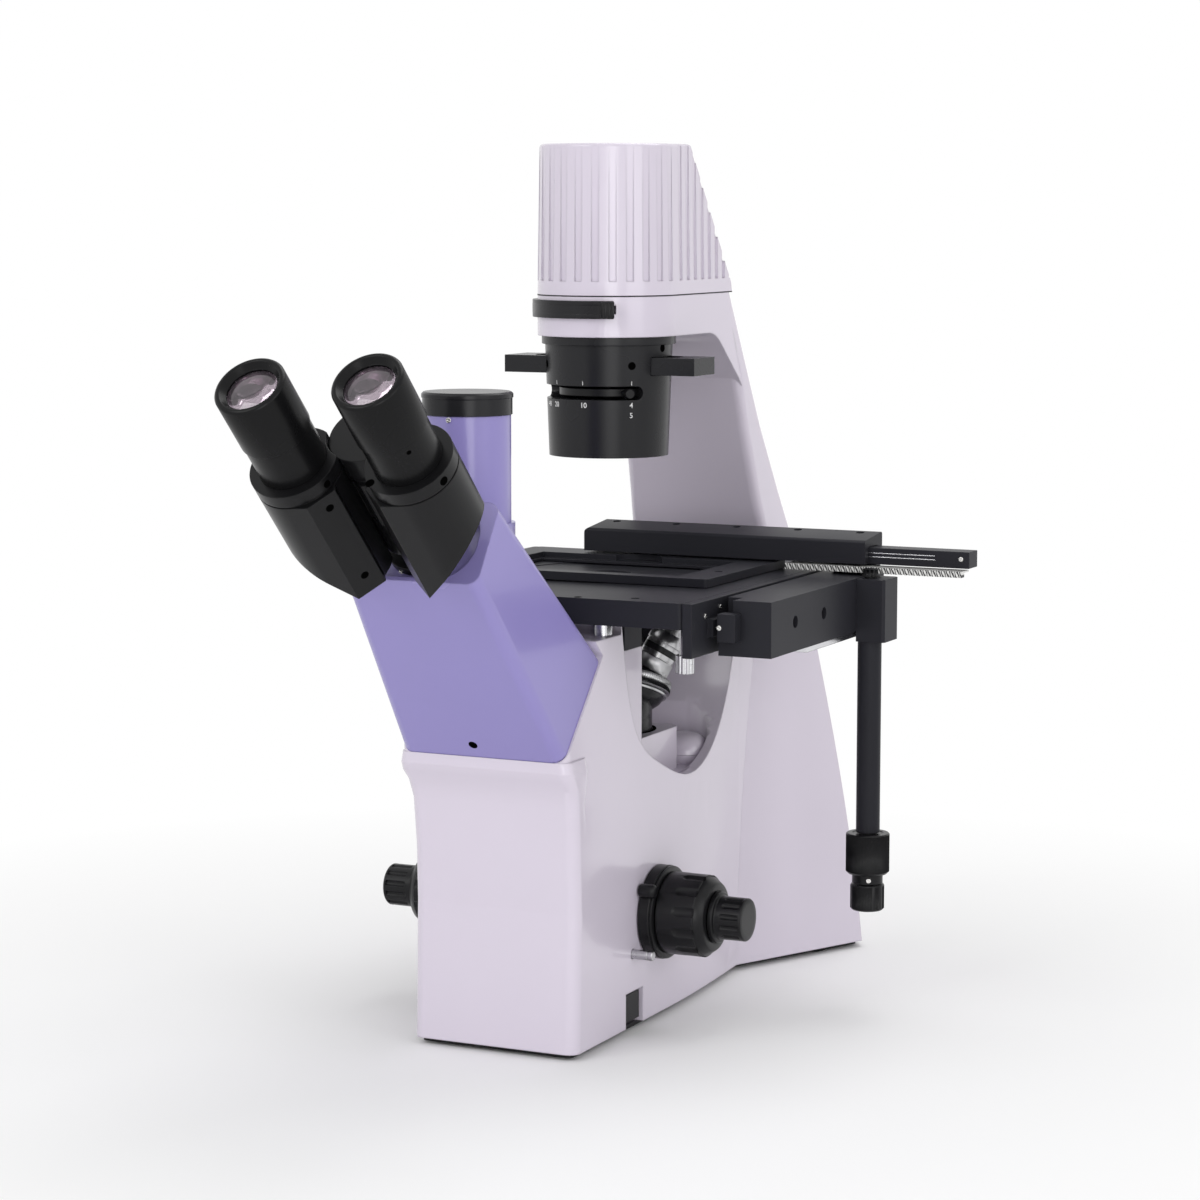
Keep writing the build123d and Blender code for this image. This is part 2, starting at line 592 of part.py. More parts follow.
def prism_box(side, ring):
    """Prism box of one eyepiece: round outside, flat inside, cut off at 45 degrees below."""
    t = side * TUBE_A
    low = TUBE_B - COLLAR_R
    flat = make_face(Polyline((t, low), (side * 21, low), (side * 8.7, -34), (side * 13, -24), (side * 13, 0),
                              (t, TUBE_B + COLLAR_R), close=True))
    plan = flat + Pos(t, TUBE_B) * Circle(COLLAR_R)
    bulk = Pos(0, 0, BOX_W0) * extrude(plan, BOX_W1 - BOX_W0)
    mirror_cut = Polyline((side * (BOX_W0 + CUT_W), BOX_W0), (side * 70, 70 - CUT_W), (side * 90, 0),
                          (side * (BOX_W0 + CUT_W), 0), close=True)
    bulk -= extrude(make_face(Plane.XZ * mirror_cut), 90, both=True)
    clear = rod_w(DISC_R + SLIP, 0, ring[0] - 1) + rod_w(DISC_R + SLIP, ring[1] + 1, 120)
    box = (bulk - clear) + rod_w(ARM_RING_R, *ring)
    collar = rod_w(COLLAR_R, BOX_W1 + 1.2, COLLAR_W, t, TUBE_B) + rod_w(COLLAR_R - 0.8, BOX_W1, BOX_W1 + 1.2, t, TUBE_B)
    box += collar - rod_w(DISC_R + SLIP, 60, 120)
    box -= rod_w(PIVOT_R + RUN, ring[0] - 2, ring[1] + 2)
    return box - rod_w(TUBE_R, BOX_W1 - 14, COLLAR_W + 1, t, TUBE_B)


def eyepiece_tube(side):
    """Plain tube seated in the collar of the prism box."""
    t = side * TUBE_A
    tube = rod_w(TUBE_R, BOX_W1 - 14, EYEPIECE_W, t, TUBE_B)
    return HEAD * (tube - rod_w(BARREL_R, BOX_W1 - 16, EYEPIECE_W + 1, t, TUBE_B))


def eyepiece(side):
    """Wide-field eyepiece: head with a dished rim, and the barrel inside the tube."""
    profile = [(BARREL_R - RUN, EYEPIECE_W - 28), (BARREL_R - RUN, EYEPIECE_W + 0.2), (EYEPIECE_R, EYEPIECE_W + 0.2),
               (EYEPIECE_R, RIM_W - 1.2), (EYEPIECE_R - 1.2, RIM_W), (EYEPIECE_R - 3.6, RIM_W), (13, RIM_W - 3.4),
               (13, RIM_W - 9), (11, RIM_W - 9), (11, EYEPIECE_W - 28)]
    shell = revolve(make_face(Plane.XZ * Polyline(*profile, close=True)), Axis.Z)
    return HEAD * Pos(side * TUBE_A, TUBE_B, 0) * shell


def eye_lens(side):
    return HEAD * Pos(side * TUBE_A, TUBE_B, 0) * lens(13 - RUN, 2.0, RIM_W - 9, 2.4, 0)


def stage_plate():
    """Plain stage, bored for the round insert, carried on the stand-offs and the casting."""
    plate = block(-STAGE_HALF, STAGE_HALF, STAGE_FRONT_Y, STAGE_BACK_Y, STAGE_Z, STAGE_TOP_Z)
    plate = fillet(plate.edges().filter_by(Axis.Z), 3)
    plate -= rod(STAGE_BORE_R, STAGE_Z - 1, STAGE_TOP_Z + 1) + rod(STAGE_BORE_R + 3, STAGE_TOP_Z - 3, STAGE_TOP_Z + 1)
    for x, y in ((-70, -112), (0, -112), (70, -112)):
        plate -= rod(2.6, STAGE_TOP_Z - 6, STAGE_TOP_Z + 1, x, y)
    return plate


def stage_insert():
    """Round metal insert with the viewing hole."""
    return rod(STAGE_BORE_R + 3 - SEAT, STAGE_TOP_Z - 3, STAGE_TOP_Z - 0.4) - rod(14, STAGE_Z, STAGE_TOP_Z + 1)


def stage_guide():
    """Guide rail along the right side of the stage."""
    guide = block(STAGE_HALF, CARRIAGE_X - 4.5, STAGE_FRONT_Y, STAGE_BACK_Y, STAGE_Z - 16, STAGE_TOP_Z)
    return guide + block(CARRIAGE_X - 5, CARRIAGE_X - 1, STAGE_FRONT_Y + 22, STAGE_BACK_Y, STAGE_Z - 6, STAGE_Z + 4)


def y_rack():
    """Rack under the carriage, carried by a strip from the guide."""
    rack = block(POST_X - 14.5, POST_X - Y_PINION_R - SLIP, -42, 98, CARRIAGE_Z - 3.4, CARRIAGE_Z - SLIP)
    arm = block(STAGE_HALF, POST_X - Y_PINION_R - SLIP, 92, 98, CARRIAGE_Z - 8, CARRIAGE_Z - SLIP)
    return rack + arm + block(STAGE_HALF, CARRIAGE_X - 4.5, 92, 98, CARRIAGE_Z - 8, STAGE_Z - 16)


def y_carriage():
    """Carriage block that runs along the guide, with the notch for its clamp."""
    body = block(CARRIAGE_X, CARRIAGE_END_X, CARRIAGE_FRONT_Y, CARRIAGE_BACK_Y, CARRIAGE_Z, STAGE_TOP_Z)
    body -= block(CARRIAGE_X - 1, CARRIAGE_X + 1.2, CARRIAGE_FRONT_Y - 1, CARRIAGE_BACK_Y + 1, STAGE_Z - 7, STAGE_Z + 5)
    body -= block(CARRIAGE_X - 1, CARRIAGE_X + 9, CARRIAGE_FRONT_Y - 1, CARRIAGE_FRONT_Y + 14, 250, 270)
    for y in (-62, -18):
        body -= rod_x(3.6, CARRIAGE_END_X - 5, CARRIAGE_END_X + 1, y, 248)
    saddle = block(CARRIAGE_X + 2, RAIL_RIGHT_X - 1, BAR_Y1 + 0.5, RAIL_BACK_Y, STAGE_TOP_Z, RAIL_Z)
    return body + saddle


def guide_clamp():
    """Small clamp block on the front end of the carriage."""
    return block(CARRIAGE_X + 3, CARRIAGE_X + 14, CARRIAGE_FRONT_Y - 9, CARRIAGE_FRONT_Y, CARRIAGE_Z + 9, 256)


def rail_housing():
    """Long cover of the cross slide, open below and at its right end."""
    end = [(RAIL_FRONT_Y, RAIL_Z), (RAIL_FRONT_Y, 282.6), (RAIL_FRONT_Y + 1.4, 284), (RAIL_BACK_Y - 1, 287),
           (RAIL_BACK_Y, 286), (RAIL_BACK_Y, RAIL_Z)]
    housing = Pos((RAIL_LEFT_X + RAIL_RIGHT_X) / 2, 0, 0) * slab_x(end, (RAIL_RIGHT_X - RAIL_LEFT_X) / 2)
    left = housing.edges().filter_by(lambda e: e.bounding_box().max.X < RAIL_LEFT_X + 0.1
                                     and e.center().Z > 280 and e.length > 20)
    housing = fillet(left, 3)
    housing -= block(RAIL_LEFT_X + 4, RAIL_RIGHT_X + 1, BAR_Y0 - SLIP, BAR_Y1 + SLIP, RAIL_Z - 1, BAR_Z1 + SLIP)
    for i in range(5):
        housing -= rod(2.6, 283, 290, RAIL_LEFT_X + 12 + i * 41, RAIL_BACK_Y - 6)
    return housing


def x_bar():
    """Sliding bar of the cross slide, standing on the holder with its foot."""
    bar = block(BAR_END_X - BAR_LENGTH, BAR_END_X, BAR_Y0, BAR_Y1, BAR_Z0, BAR_Z1)
    return bar + block(BAR_END_X - BAR_LENGTH, 88, BAR_Y0, BAR_Y1, HOLDER_Z + HOLDER_T, BAR_Z0)


def x_rack():
    """White toothed strip with a thin web under the bar."""
    back = BAR_Y0 - 3
    low = STAGE_TOP_Z + 0.8
    points = [(RACK_X0, back), (RACK_X0, RACK_Y)]
    for i in range(int((BAR_END_X - RACK_X0) / TOOTH)):
        x = RACK_X0 + i * TOOTH
        points += [(x + TOOTH * 0.2, RACK_Y + 1), (x + TOOTH * 0.5, RACK_Y + 1), (x + TOOTH * 0.7, RACK_Y),
                   (x + TOOTH, RACK_Y)]
    points.append((points[-1][0], back))
    strip = extrude(Pos(0, 0, low) * make_face(Polyline(*points, close=True)), BAR_Z0 - low)
    return strip + block(RACK_X0, points[-1][0], back, BAR_Y0 + 5, BAR_Z0 - 1.5, BAR_Z0)


def specimen_holder():
    """Frame plate with a stepped opening for slides and dishes."""
    z0 = HOLDER_Z
    z1 = z0 + HOLDER_T
    plate = block(-85, 88.5, -53, 68, z0, z1)
    plate = fillet(plate.edges().filter_by(Axis.Z), 2.5)
    plate -= block(-64, 64, -37, 37, z0 - 1, z1 + 1)
    plate -= block(-66, 66, -43, 43, z0 + 1.6, z1 + 1)
    plate -= rod(16, z0 + 1.6, z1 + 1, 0, 40)
    return plate - rod(2.6, z0 - 1, z1 + 1, 78, -12)


def gearbox():
    """Block on the carriage that carries the hanging post and houses the pinion of the Y drive."""
    box = block(CARRIAGE_END_X, CARRIAGE_END_X + 18, 33.5, 57, 225, STAGE_TOP_Z - 0.4)
    box = chamfer(box.edges().filter_by(Axis.Z).sort_by(Axis.X)[-2:], 1.5)
    box -= rod(Y_PINION_R + SLIP, 227.2, CARRIAGE_Z, POST_X, POST_Y)
    box -= rod(Y_SHAFT_R + RUN, 224, 228, POST_X, POST_Y)
    return box - rod(X_SHAFT_R + RUN, 220, 270, POST_X, POST_Y)


def stage_post():
    """Black tube hanging from the gearbox."""
    return rod(POST_R, POST_BOTTOM_Z, 225, POST_X, POST_Y) - rod(Y_SHAFT_R + RUN, 100, 230, POST_X, POST_Y)


def y_knob():
    """Upper knurled knob of the two coaxial stage knobs, with its hollow shaft and pinion."""
    low = POST_BOTTOM_Z - SLIP
    knob = Pos(0, 0, low - 25) * flutes(13.2, 25, 18, 0.8)
    knob += rod(9.3, low - 31, low - 25)
    knob += rod(Y_SHAFT_R, low - 1, CARRIAGE_Z - 1) + rod(Y_PINION_R, CARRIAGE_Z - 3.2, CARRIAGE_Z - 0.6)
    return Pos(POST_X, POST_Y, 0) * (knob - rod(X_SHAFT_R + RUN, 50, 240))


def x_knob():
    """Lower knob with the long shaft and the pinion of the cross slide."""
    low = POST_BOTTOM_Z - 2 * SLIP - 31
    knob = Pos(0, 0, low - 16) * flutes(10.3, 16, 16, 0.7)
    shaft = rod(X_SHAFT_R, low - 10, STAGE_TOP_Z + 0.6)
    pinion = Pos(0, 0, STAGE_TOP_Z + 0.6) * flutes(X_PINION_R, 4.6, 10, 0.5)
    return Pos(POST_X, POST_Y, 0) * (knob + shaft + pinion)


def stage_standoffs():
    return [rod(5.6, SHOULDER_Z, STAGE_Z, side * 44.5, -101) for side in (-1, 1)]


def thumb_screw():
    """Chrome screw with a knurled head hanging under the stage."""
    return Pos(62, -25, 0) * (rod(3.4, 219, STAGE_Z) + Pos(0, 0, 208) * flutes(5.6, 11, 12, 0.5))


def support_block():
    """Black block between the column and the stage."""
    return block(-BAY_HALF, BAY_HALF, -71, CORE_Y, CORE_Z, STAGE_Z) - rod(20, 200, 260, 0, -30)


def focus_sleeve():
    """Tube that carries the turret and moves up and down in the casting, with its rack."""
    x0, x1 = PINION_X
    face = FOCUS_Y + PINION_R + SLIP
    tube = rod(SLEEVE_R, BLOCK_Z - 45, NOSE_Z) - rod(17, 100, 200)
    rack = block(x0, x1, face, face + 6, 55, 128)
    return tube + rack + block(x0, x0 + 2.5, face, -8, 122, 128)


def turret_base():
    """Fixed part of the revolving nosepiece, from the sleeve up to the leaning face."""
    cup = TURRET * rod_w(TURRET_R - 3, -23, RIM_LOW_W - SLIP)
    stem = rod(SLEEVE_R, NOSE_Z, 220) & (TURRET * rod_w(60, -60, RIM_LOW_W - SLIP))
    base = stem + (cup & block(-60, 60, -60, 80, NOSE_Z, 240))
    return base - rod(13, 150, 250)


def turret():
    """Revolving cone with knurled rim and four spot-faced seats."""
    slope = math.tan(lean)
    cone = turned([(0, RIM_LOW_W + 1), (TURRET_R - 1.5, RIM_LOW_W + 1), (TURRET_R - 1.5, -slope * 11),
                   (8, slope * 11.5), (0, slope * 11.5)])
    disc = cone + Pos(0, 0, RIM_LOW_W) * flutes(TURRET_R, 8, 30, 0.7)
    disc &= Pos(0, 0, RIM_LOW_W) * turned([(0, 0), (60, 0), (60, -RIM_LOW_W - slope * 11.5),
                                           (8, -RIM_LOW_W + slope * 11.5), (0, -RIM_LOW_W + slope * 11.5)])
    for i in range(4):
        disc -= objective_spot(i) * (Pos(0, 0, -20) * Cylinder(7.4 + RUN, 60))
        disc -= objective_spot(i) * (Pos(0, 0, 9.6) * Cylinder(12, 20))
    return TURRET * disc


def objective_spot(i):
    """Axis of one objective, from the common crossing point; number 0 stands upright."""
    apex = Pos(0, 0, -SHOULDER_W * math.cos(lean))
    return apex * Rot(0, 0, 90 * i) * Rot(TURRET_TILT, 0, 0) * Pos(0, 0, SHOULDER_W)


def objectives():
    """Four barrels with rings, tapering to the front lens; number 0 stands on the optical axis."""
    group = []
    for i, (length, tip_r) in enumerate(((38, 6.5), (30, 8.5), (38, 5.5), (38, 5.0))):
        body = turned([(7.4, -4), (7.4, -0.4), (11.4, -0.4), (11.4, 8), (11.0, 8.4), (11.0, 17), (11.4, 17.4),
                       (11.4, 21), (9.4, 25), (9.4, length - 6), (tip_r, length), (3.2, length), (3.2, -4)])
        group.append(TURRET * objective_spot(i) * body)
    return group


def light_prisms():
    """Mirror under the nosepiece and the splitting prism under the camera port."""
    plate = MIRROR * (Pos(0, 0, -MIRROR_T / 2) * Box(34, 42, MIRROR_T))
    cube = block(-PRISM_HALF, PRISM_HALF, PHOTO_Y - PRISM_HALF, PHOTO_Y + PRISM_HALF, PRISM_Z,
                 PRISM_Z + 2 * PRISM_HALF)
    return [plate, cube]


def relay_tube():
    """Black tube that carries the picture from the mirror up to the head."""
    tube = along(RELAY_START, RELAY_DIR, RELAY_R, RELAY_LENGTH - 1) - along(RELAY_START, RELAY_DIR, RELAY_R - 2, 300)
    return tube - block(-40, 40, -22, 24, 50, 118) - rod(SLEEVE_R + RUN, 112, 150)


def focus_shaft():
    shaft = rod_x(SHAFT_R, -LEFT_FACE + 4, RIGHT_FACE - 4, FOCUS_Y, FOCUS_Z)
    return shaft + rod_x(PINION_R, *PINION_X, FOCUS_Y, FOCUS_Z)


def coarse_knob(side, face, start):
    """Fluted coarse knob with a bevelled outer rim."""
    knob = flutes(COARSE_R, face - start - 5, 12, 0.6)
    rim = Pos(0, 0, face - start - 5) * Cone(COARSE_R - 0.4, COARSE_R - 4.5, 5,
                                            align=(Align.CENTER, Align.CENTER, Align.MIN))
    knob = (knob + rim) - Cylinder(SHAFT_R + RUN, 2 * (face - start - 4))
    return Pos(side * start, FOCUS_Y, FOCUS_Z) * Rot(0, side * 90, 0) * (knob - Cylinder(SPINDLE_R + RUN, 300))


def fine_knob(side, face, end):
    """Stepped fluted fine knob on its thin spindle through the coarse knob."""
    hub = Cylinder(FINE_R + 2.4, 3, align=(Align.CENTER, Align.CENTER, Align.MIN))
    grip = Pos(0, 0, 3) * flutes(FINE_R, end - face - 3 - SLIP, 10, 0.8)
    spindle = Pos(0, 0, -1.3) * Cylinder(SPINDLE_R, 4.6)
    return Pos(side * (face + SLIP), FOCUS_Y, FOCUS_Z) * Rot(0, side * 90, 0) * (hub + grip + spindle)


def tension_ring():
    """Ring next to the casting that sets the drag of the coarse drive."""
    ring = rod_x(COLLAR_RING_R, WALL_X + SLIP, WALL_X + 9.6, FOCUS_Y, FOCUS_Z)
    tab = rod_x(4.2, WALL_X + 1, WALL_X + 11, FOCUS_Y - 24, FOCUS_Z + 17)
    return ring + tab - rod_x(SHAFT_R + RUN, 0, 100, FOCUS_Y, FOCUS_Z)


def light_path_rod():
    return rod_x(PATH_ROD_R, 24, 66, PATH_ROD_Y, PATH_ROD_Z) + rod_x(3.8, 60, 66, PATH_ROD_Y, PATH_ROD_Z)


def brightness_rocker():
    """Black rocker with its pin in the recess low on the right side."""
    x = WALL_X - ROCKER_PIVOT
    key = block(x - 1.8, WALL_X - 1.4, ROCKER_Y - 9, ROCKER_Y + 9, ROCKER_Z - 8.5, ROCKER_Z + 8)
    return key + rod_y(ROCKER_PIN_R, ROCKER_Y - 15, ROCKER_Y + 15, x, ROCKER_Z)


def mains_inlet():
    """Inlet socket at the back of the casting, with its three pins."""
    face = REAR_Y - 0.5
    shell = block(-16, 16, face - 14, face + 1.5, 24, 50) - block(-12.5, 12.5, face - 10, face + 3, 28, 46)
    for x, z in ((-7, 35), (7, 35), (0, 40)):
        shell += block(x - 1, x + 1, face - 11, face - 2, z - 2, z + 2)
    return shell


parts["stand_base"] = stand_base()
parts["base_plate"] = base_plate()
parts["rubber_feet"] = rubber_feet()
parts["pillar_arm"] = pillar_arm()
parts["lamp_house_cover"] = lamp_house_cover()
parts["lamp_tube"] = lamp_tube()
parts["led_module"] = led_module()
parts["collector_lens"] = collector_lens()
parts["diaphragm_band"] = diaphragm_band()
parts["diaphragm_lever"] = diaphragm_lever()
parts["condenser_mount"] = condenser_mount()
parts["condenser_body"] = condenser_body()
parts["condenser_lens"] = condenser_lens()
parts["aperture_lever"] = aperture_lever()
parts["phase_slider"] = phase_slider()
parts["head_housing"] = head_housing()
parts["photo_tube"] = photo_tube()
parts["photo_tube_cap"] = photo_tube_cap()
parts["binocular_flange"] = binocular_flange()
parts["hinge_pivot"] = hinge_pivot()
parts["prism_box_left"] = HEAD * prism_box(-1, LEFT_RING)
parts["prism_box_right"] = HEAD * prism_box(1, RIGHT_RING)
for side, word in ((-1, "left"), (1, "right")):
    parts[f"eyepiece_tube_{word}"] = eyepiece_tube(side)
    parts[f"eyepiece_{word}"] = eyepiece(side)
    parts[f"eye_lens_{word}"] = eye_lens(side)
parts["stage_plate"] = stage_plate()
parts["stage_insert"] = stage_insert()
parts["stage_guide"] = stage_guide()
parts["y_rack"] = y_rack()
parts["y_carriage"] = y_carriage()
parts["guide_clamp"] = guide_clamp()
parts["rail_housing"] = rail_housing()
parts["x_bar"] = x_bar()
parts["x_rack"] = x_rack()
parts["specimen_holder"] = specimen_holder()
parts["gearbox"] = gearbox()
parts["stage_post"] = stage_post()
parts["y_knob"] = y_knob()
parts["x_knob"] = x_knob()
parts["stage_standoffs"] = stage_standoffs()
parts["thumb_screw"] = thumb_screw()
parts["support_block"] = support_block()
parts["focus_sleeve"] = focus_sleeve()
parts["turret_base"] = turret_base()
parts["turret"] = turret()
parts["objectives"] = objectives()
parts["light_prisms"] = light_prisms()
parts["relay_tube"] = relay_tube()
parts["focus_shaft"] = focus_shaft()
parts["coarse_knob_right"] = coarse_knob(1, RIGHT_FACE, WALL_X + 10)
parts["coarse_knob_left"] = coarse_knob(-1, LEFT_FACE, WALL_X + 4)
parts["fine_knob_right"] = fine_knob(1, RIGHT_FACE, RIGHT_END)
parts["fine_knob_left"] = fine_knob(-1, LEFT_FACE, LEFT_END)
parts["tension_ring"] = tension_ring()
parts["light_path_rod"] = light_path_rod()
parts["brightness_rocker"] = brightness_rocker()
parts["mains_inlet"] = mains_inlet()

os.makedirs("parts", exist_ok=True)
for name, solid in parts.items():
    group = solid if isinstance(solid, list) else [solid]
    export_step(Compound(children=[Pos(SHIFT_X, SHIFT_Y, 0) * piece for piece in group]), f"parts/{name}.step")
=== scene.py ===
import bpy
import math
from mathutils import Matrix, Vector


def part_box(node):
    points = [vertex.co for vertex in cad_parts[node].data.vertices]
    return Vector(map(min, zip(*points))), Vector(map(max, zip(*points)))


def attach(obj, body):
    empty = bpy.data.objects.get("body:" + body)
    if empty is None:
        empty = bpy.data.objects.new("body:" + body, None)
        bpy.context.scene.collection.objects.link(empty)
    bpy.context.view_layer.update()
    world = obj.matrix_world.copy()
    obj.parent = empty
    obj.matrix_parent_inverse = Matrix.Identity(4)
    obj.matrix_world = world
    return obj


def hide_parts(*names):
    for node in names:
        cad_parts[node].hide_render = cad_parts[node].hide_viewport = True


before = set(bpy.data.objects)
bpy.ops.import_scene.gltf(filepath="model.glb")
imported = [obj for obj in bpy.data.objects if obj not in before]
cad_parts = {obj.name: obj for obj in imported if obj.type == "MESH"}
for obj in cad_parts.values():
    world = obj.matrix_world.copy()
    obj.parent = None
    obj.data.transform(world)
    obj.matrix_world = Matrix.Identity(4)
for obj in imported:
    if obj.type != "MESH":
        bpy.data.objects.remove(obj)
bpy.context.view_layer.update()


# Stand base: one aluminium casting with the cradle for the head and the open
# bay for the nosepiece. Sprayed in a gloss pale lilac enamel with a fine
# orange peel, then drilled and faced where other pieces are screwed on.
def socket(group, name, kind, side, value=None):
    """Add one input or output to the shared skin group."""
    new = group.interface.new_socket(name=name, socket_type=kind, in_out=side)
    if value is not None:
        new.default_value = value
    return new


def make_skin_group():
    """Colour drift, roughness drift, rubbed edges and fine relief of a sprayed, moulded or turned skin."""
    group = bpy.data.node_groups.new("finish_skin", "ShaderNodeTree")
    socket(group, "Colour", "NodeSocketColor", "INPUT", (0.8, 0.8, 0.8, 1))
    socket(group, "Rubbed colour", "NodeSocketColor", "INPUT", (0.9, 0.9, 0.9, 1))
    socket(group, "Drift", "NodeSocketFloat", "INPUT", 0.05)
    socket(group, "Roughness", "NodeSocketFloat", "INPUT", 0.3)
    socket(group, "Grain size", "NodeSocketFloat", "INPUT", 900.0)
    socket(group, "Relief", "NodeSocketFloat", "INPUT", 0.05)
    socket(group, "Edge radius", "NodeSocketFloat", "INPUT", 0.0006)
    socket(group, "Rub", "NodeSocketFloat", "INPUT", 0.3)
    socket(group, "Stretch", "NodeSocketVector", "INPUT", (1, 1, 1))
    socket(group, "Colour", "NodeSocketColor", "OUTPUT")
    socket(group, "Roughness", "NodeSocketFloat", "OUTPUT")
    socket(group, "Normal", "NodeSocketVector", "OUTPUT")
    n, link = group.nodes, group.links.new
    gin, gout = n.new("NodeGroupInput"), n.new("NodeGroupOutput")
    place = n.new("ShaderNodeTexCoord")
    stretched = n.new("ShaderNodeVectorMath")
    stretched.operation = "MULTIPLY"
    cloud = n.new("ShaderNodeTexNoise")
    cloud.inputs["Scale"].default_value = 14
    cloud.inputs["Detail"].default_value = 4
    grain = n.new("ShaderNodeTexNoise")
    grain.inputs["Detail"].default_value = 2
    swing = n.new("ShaderNodeMapRange")
    swing.inputs["To Min"].default_value = -1
    value = n.new("ShaderNodeMath")
    value.operation = "MULTIPLY_ADD"
    value.inputs[2].default_value = 1.0
    tint = n.new("ShaderNodeHueSaturation")
    rough = n.new("ShaderNodeMath")
    rough.operation = "MULTIPLY_ADD"
    share = n.new("ShaderNodeMath")
    share.operation = "MULTIPLY"
    share.inputs[1].default_value = 0.16
    round_edge = n.new("ShaderNodeBevel")
    round_edge.samples = 4
    shape = n.new("ShaderNodeNewGeometry")
    turned_by = n.new("ShaderNodeVectorMath")
    turned_by.operation = "DOT_PRODUCT"
    edge_mask = n.new("ShaderNodeMapRange")
    edge_mask.inputs["From Min"].default_value = 0.985
    edge_mask.inputs["From Max"].default_value = 0.86
    patchy = n.new("ShaderNodeTexNoise")
    patchy.inputs["Scale"].default_value = 160
    patchy.inputs["Detail"].default_value = 3
    broken_up = n.new("ShaderNodeMapRange")
    broken_up.inputs["From Min"].default_value = 0.42
    broken_up.inputs["From Max"].default_value = 0.62
    worn = n.new("ShaderNodeMath")
    worn.operation = "MULTIPLY"
    rubbed = n.new("ShaderNodeMath")
    rubbed.operation = "MULTIPLY"
    paint = n.new("ShaderNodeMix")
    paint.data_type = "RGBA"
    bump = n.new("ShaderNodeBump")
    bump.inputs["Distance"].default_value = 0.0004
    link(place.outputs["Object"], stretched.inputs[0])
    link(gin.outputs["Stretch"], stretched.inputs[1])
    link(place.outputs["Object"], cloud.inputs["Vector"])
    link(place.outputs["Object"], patchy.inputs["Vector"])
    link(stretched.outputs[0], grain.inputs["Vector"])
    link(gin.outputs["Grain size"], grain.inputs["Scale"])
    link(cloud.outputs[0], swing.inputs["Value"])
    link(swing.outputs[0], value.inputs[0])
    link(gin.outputs["Drift"], value.inputs[1])
    link(value.outputs[0], tint.inputs["Value"])
    link(gin.outputs["Colour"], tint.inputs["Color"])
    link(gin.outputs["Edge radius"], round_edge.inputs["Radius"])
    link(round_edge.outputs[0], turned_by.inputs[0])
    link(shape.outputs["Normal"], turned_by.inputs[1])
    link(turned_by.outputs["Value"], edge_mask.inputs["Value"])
    link(patchy.outputs[0], broken_up.inputs["Value"])
    link(edge_mask.outputs[0], worn.inputs[0])
    link(broken_up.outputs[0], worn.inputs[1])
    link(worn.outputs[0], rubbed.inputs[0])
    link(gin.outputs["Rub"], rubbed.inputs[1])
    link(rubbed.outputs[0], paint.inputs["Factor"])
    link(tint.outputs[0], paint.inputs["A"])
    link(gin.outputs["Rubbed colour"], paint.inputs["B"])
    link(paint.outputs["Result"], gout.inputs["Colour"])
    link(gin.outputs["Roughness"], share.inputs[0])
    link(swing.outputs[0], rough.inputs[0])
    link(share.outputs[0], rough.inputs[1])
    link(gin.outputs["Roughness"], rough.inputs[2])
    link(rough.outputs[0], gout.inputs["Roughness"])
    link(round_edge.outputs[0], bump.inputs["Normal"])
    link(grain.outputs[0], bump.inputs["Height"])
    link(gin.outputs["Relief"], bump.inputs["Strength"])
    link(bump.outputs[0], gout.inputs["Normal"])
    return group


finish_skin = make_skin_group()


def finish(name, colour, roughness, rubbed=None, drift=0.04, grain=900.0, relief=0.05, edge=0.0006, rub=0.3,
           metallic=0.0, level=0.5, clear=0.0, stretch=(1, 1, 1)):
    """A material made of one Principled shader fed by the shared skin group."""
    mat = bpy.data.materials.new(name)
    mat.use_nodes = True
    nodes, links = mat.node_tree.nodes, mat.node_tree.links
    shader = nodes["Principled BSDF"]
    skin = nodes.new("ShaderNodeGroup")
    skin.node_tree = finish_skin
    skin.inputs["Colour"].default_value = (*colour, 1)
    skin.inputs["Rubbed colour"].default_value = (*(rubbed or [min(1, c * 1.25 + 0.02) for c in colour]), 1)
    skin.inputs["Drift"].default_value = drift
    skin.inputs["Roughness"].default_value = roughness
    skin.inputs["Grain size"].default_value = grain
    skin.inputs["Relief"].default_value = relief
    skin.inputs["Edge radius"].default_value = edge
    skin.inputs["Rub"].default_value = rub
    skin.inputs["Stretch"].default_value = stretch
    links.new(skin.outputs["Colour"], shader.inputs["Base Color"])
    links.new(skin.outputs["Roughness"], shader.inputs["Roughness"])
    links.new(skin.outputs["Normal"], shader.inputs["Normal"])
    shader.inputs["Metallic"].default_value = metallic
    shader.inputs["Specular IOR Level"].default_value = level
    shader.inputs["Coat Weight"].default_value = clear
    shader.inputs["Coat Roughness"].default_value = 0.08
    return mat


def dress(node, mat):
    """Put a finish on a CAD node as it is."""
    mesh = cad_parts[node].data
    mesh.materials.clear()
    mesh.materials.append(mat)


def place_piece(piece, body, mat, slot, *nodes):
    """Give a finished piece its material, its body and the CAD nodes that it stands for."""
    piece.data.materials.clear()
    piece.data.materials.append(mat)
    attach(piece, body)
    if nodes:
        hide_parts(*nodes)
    for node in nodes:
        dress(node, mat)
    return piece


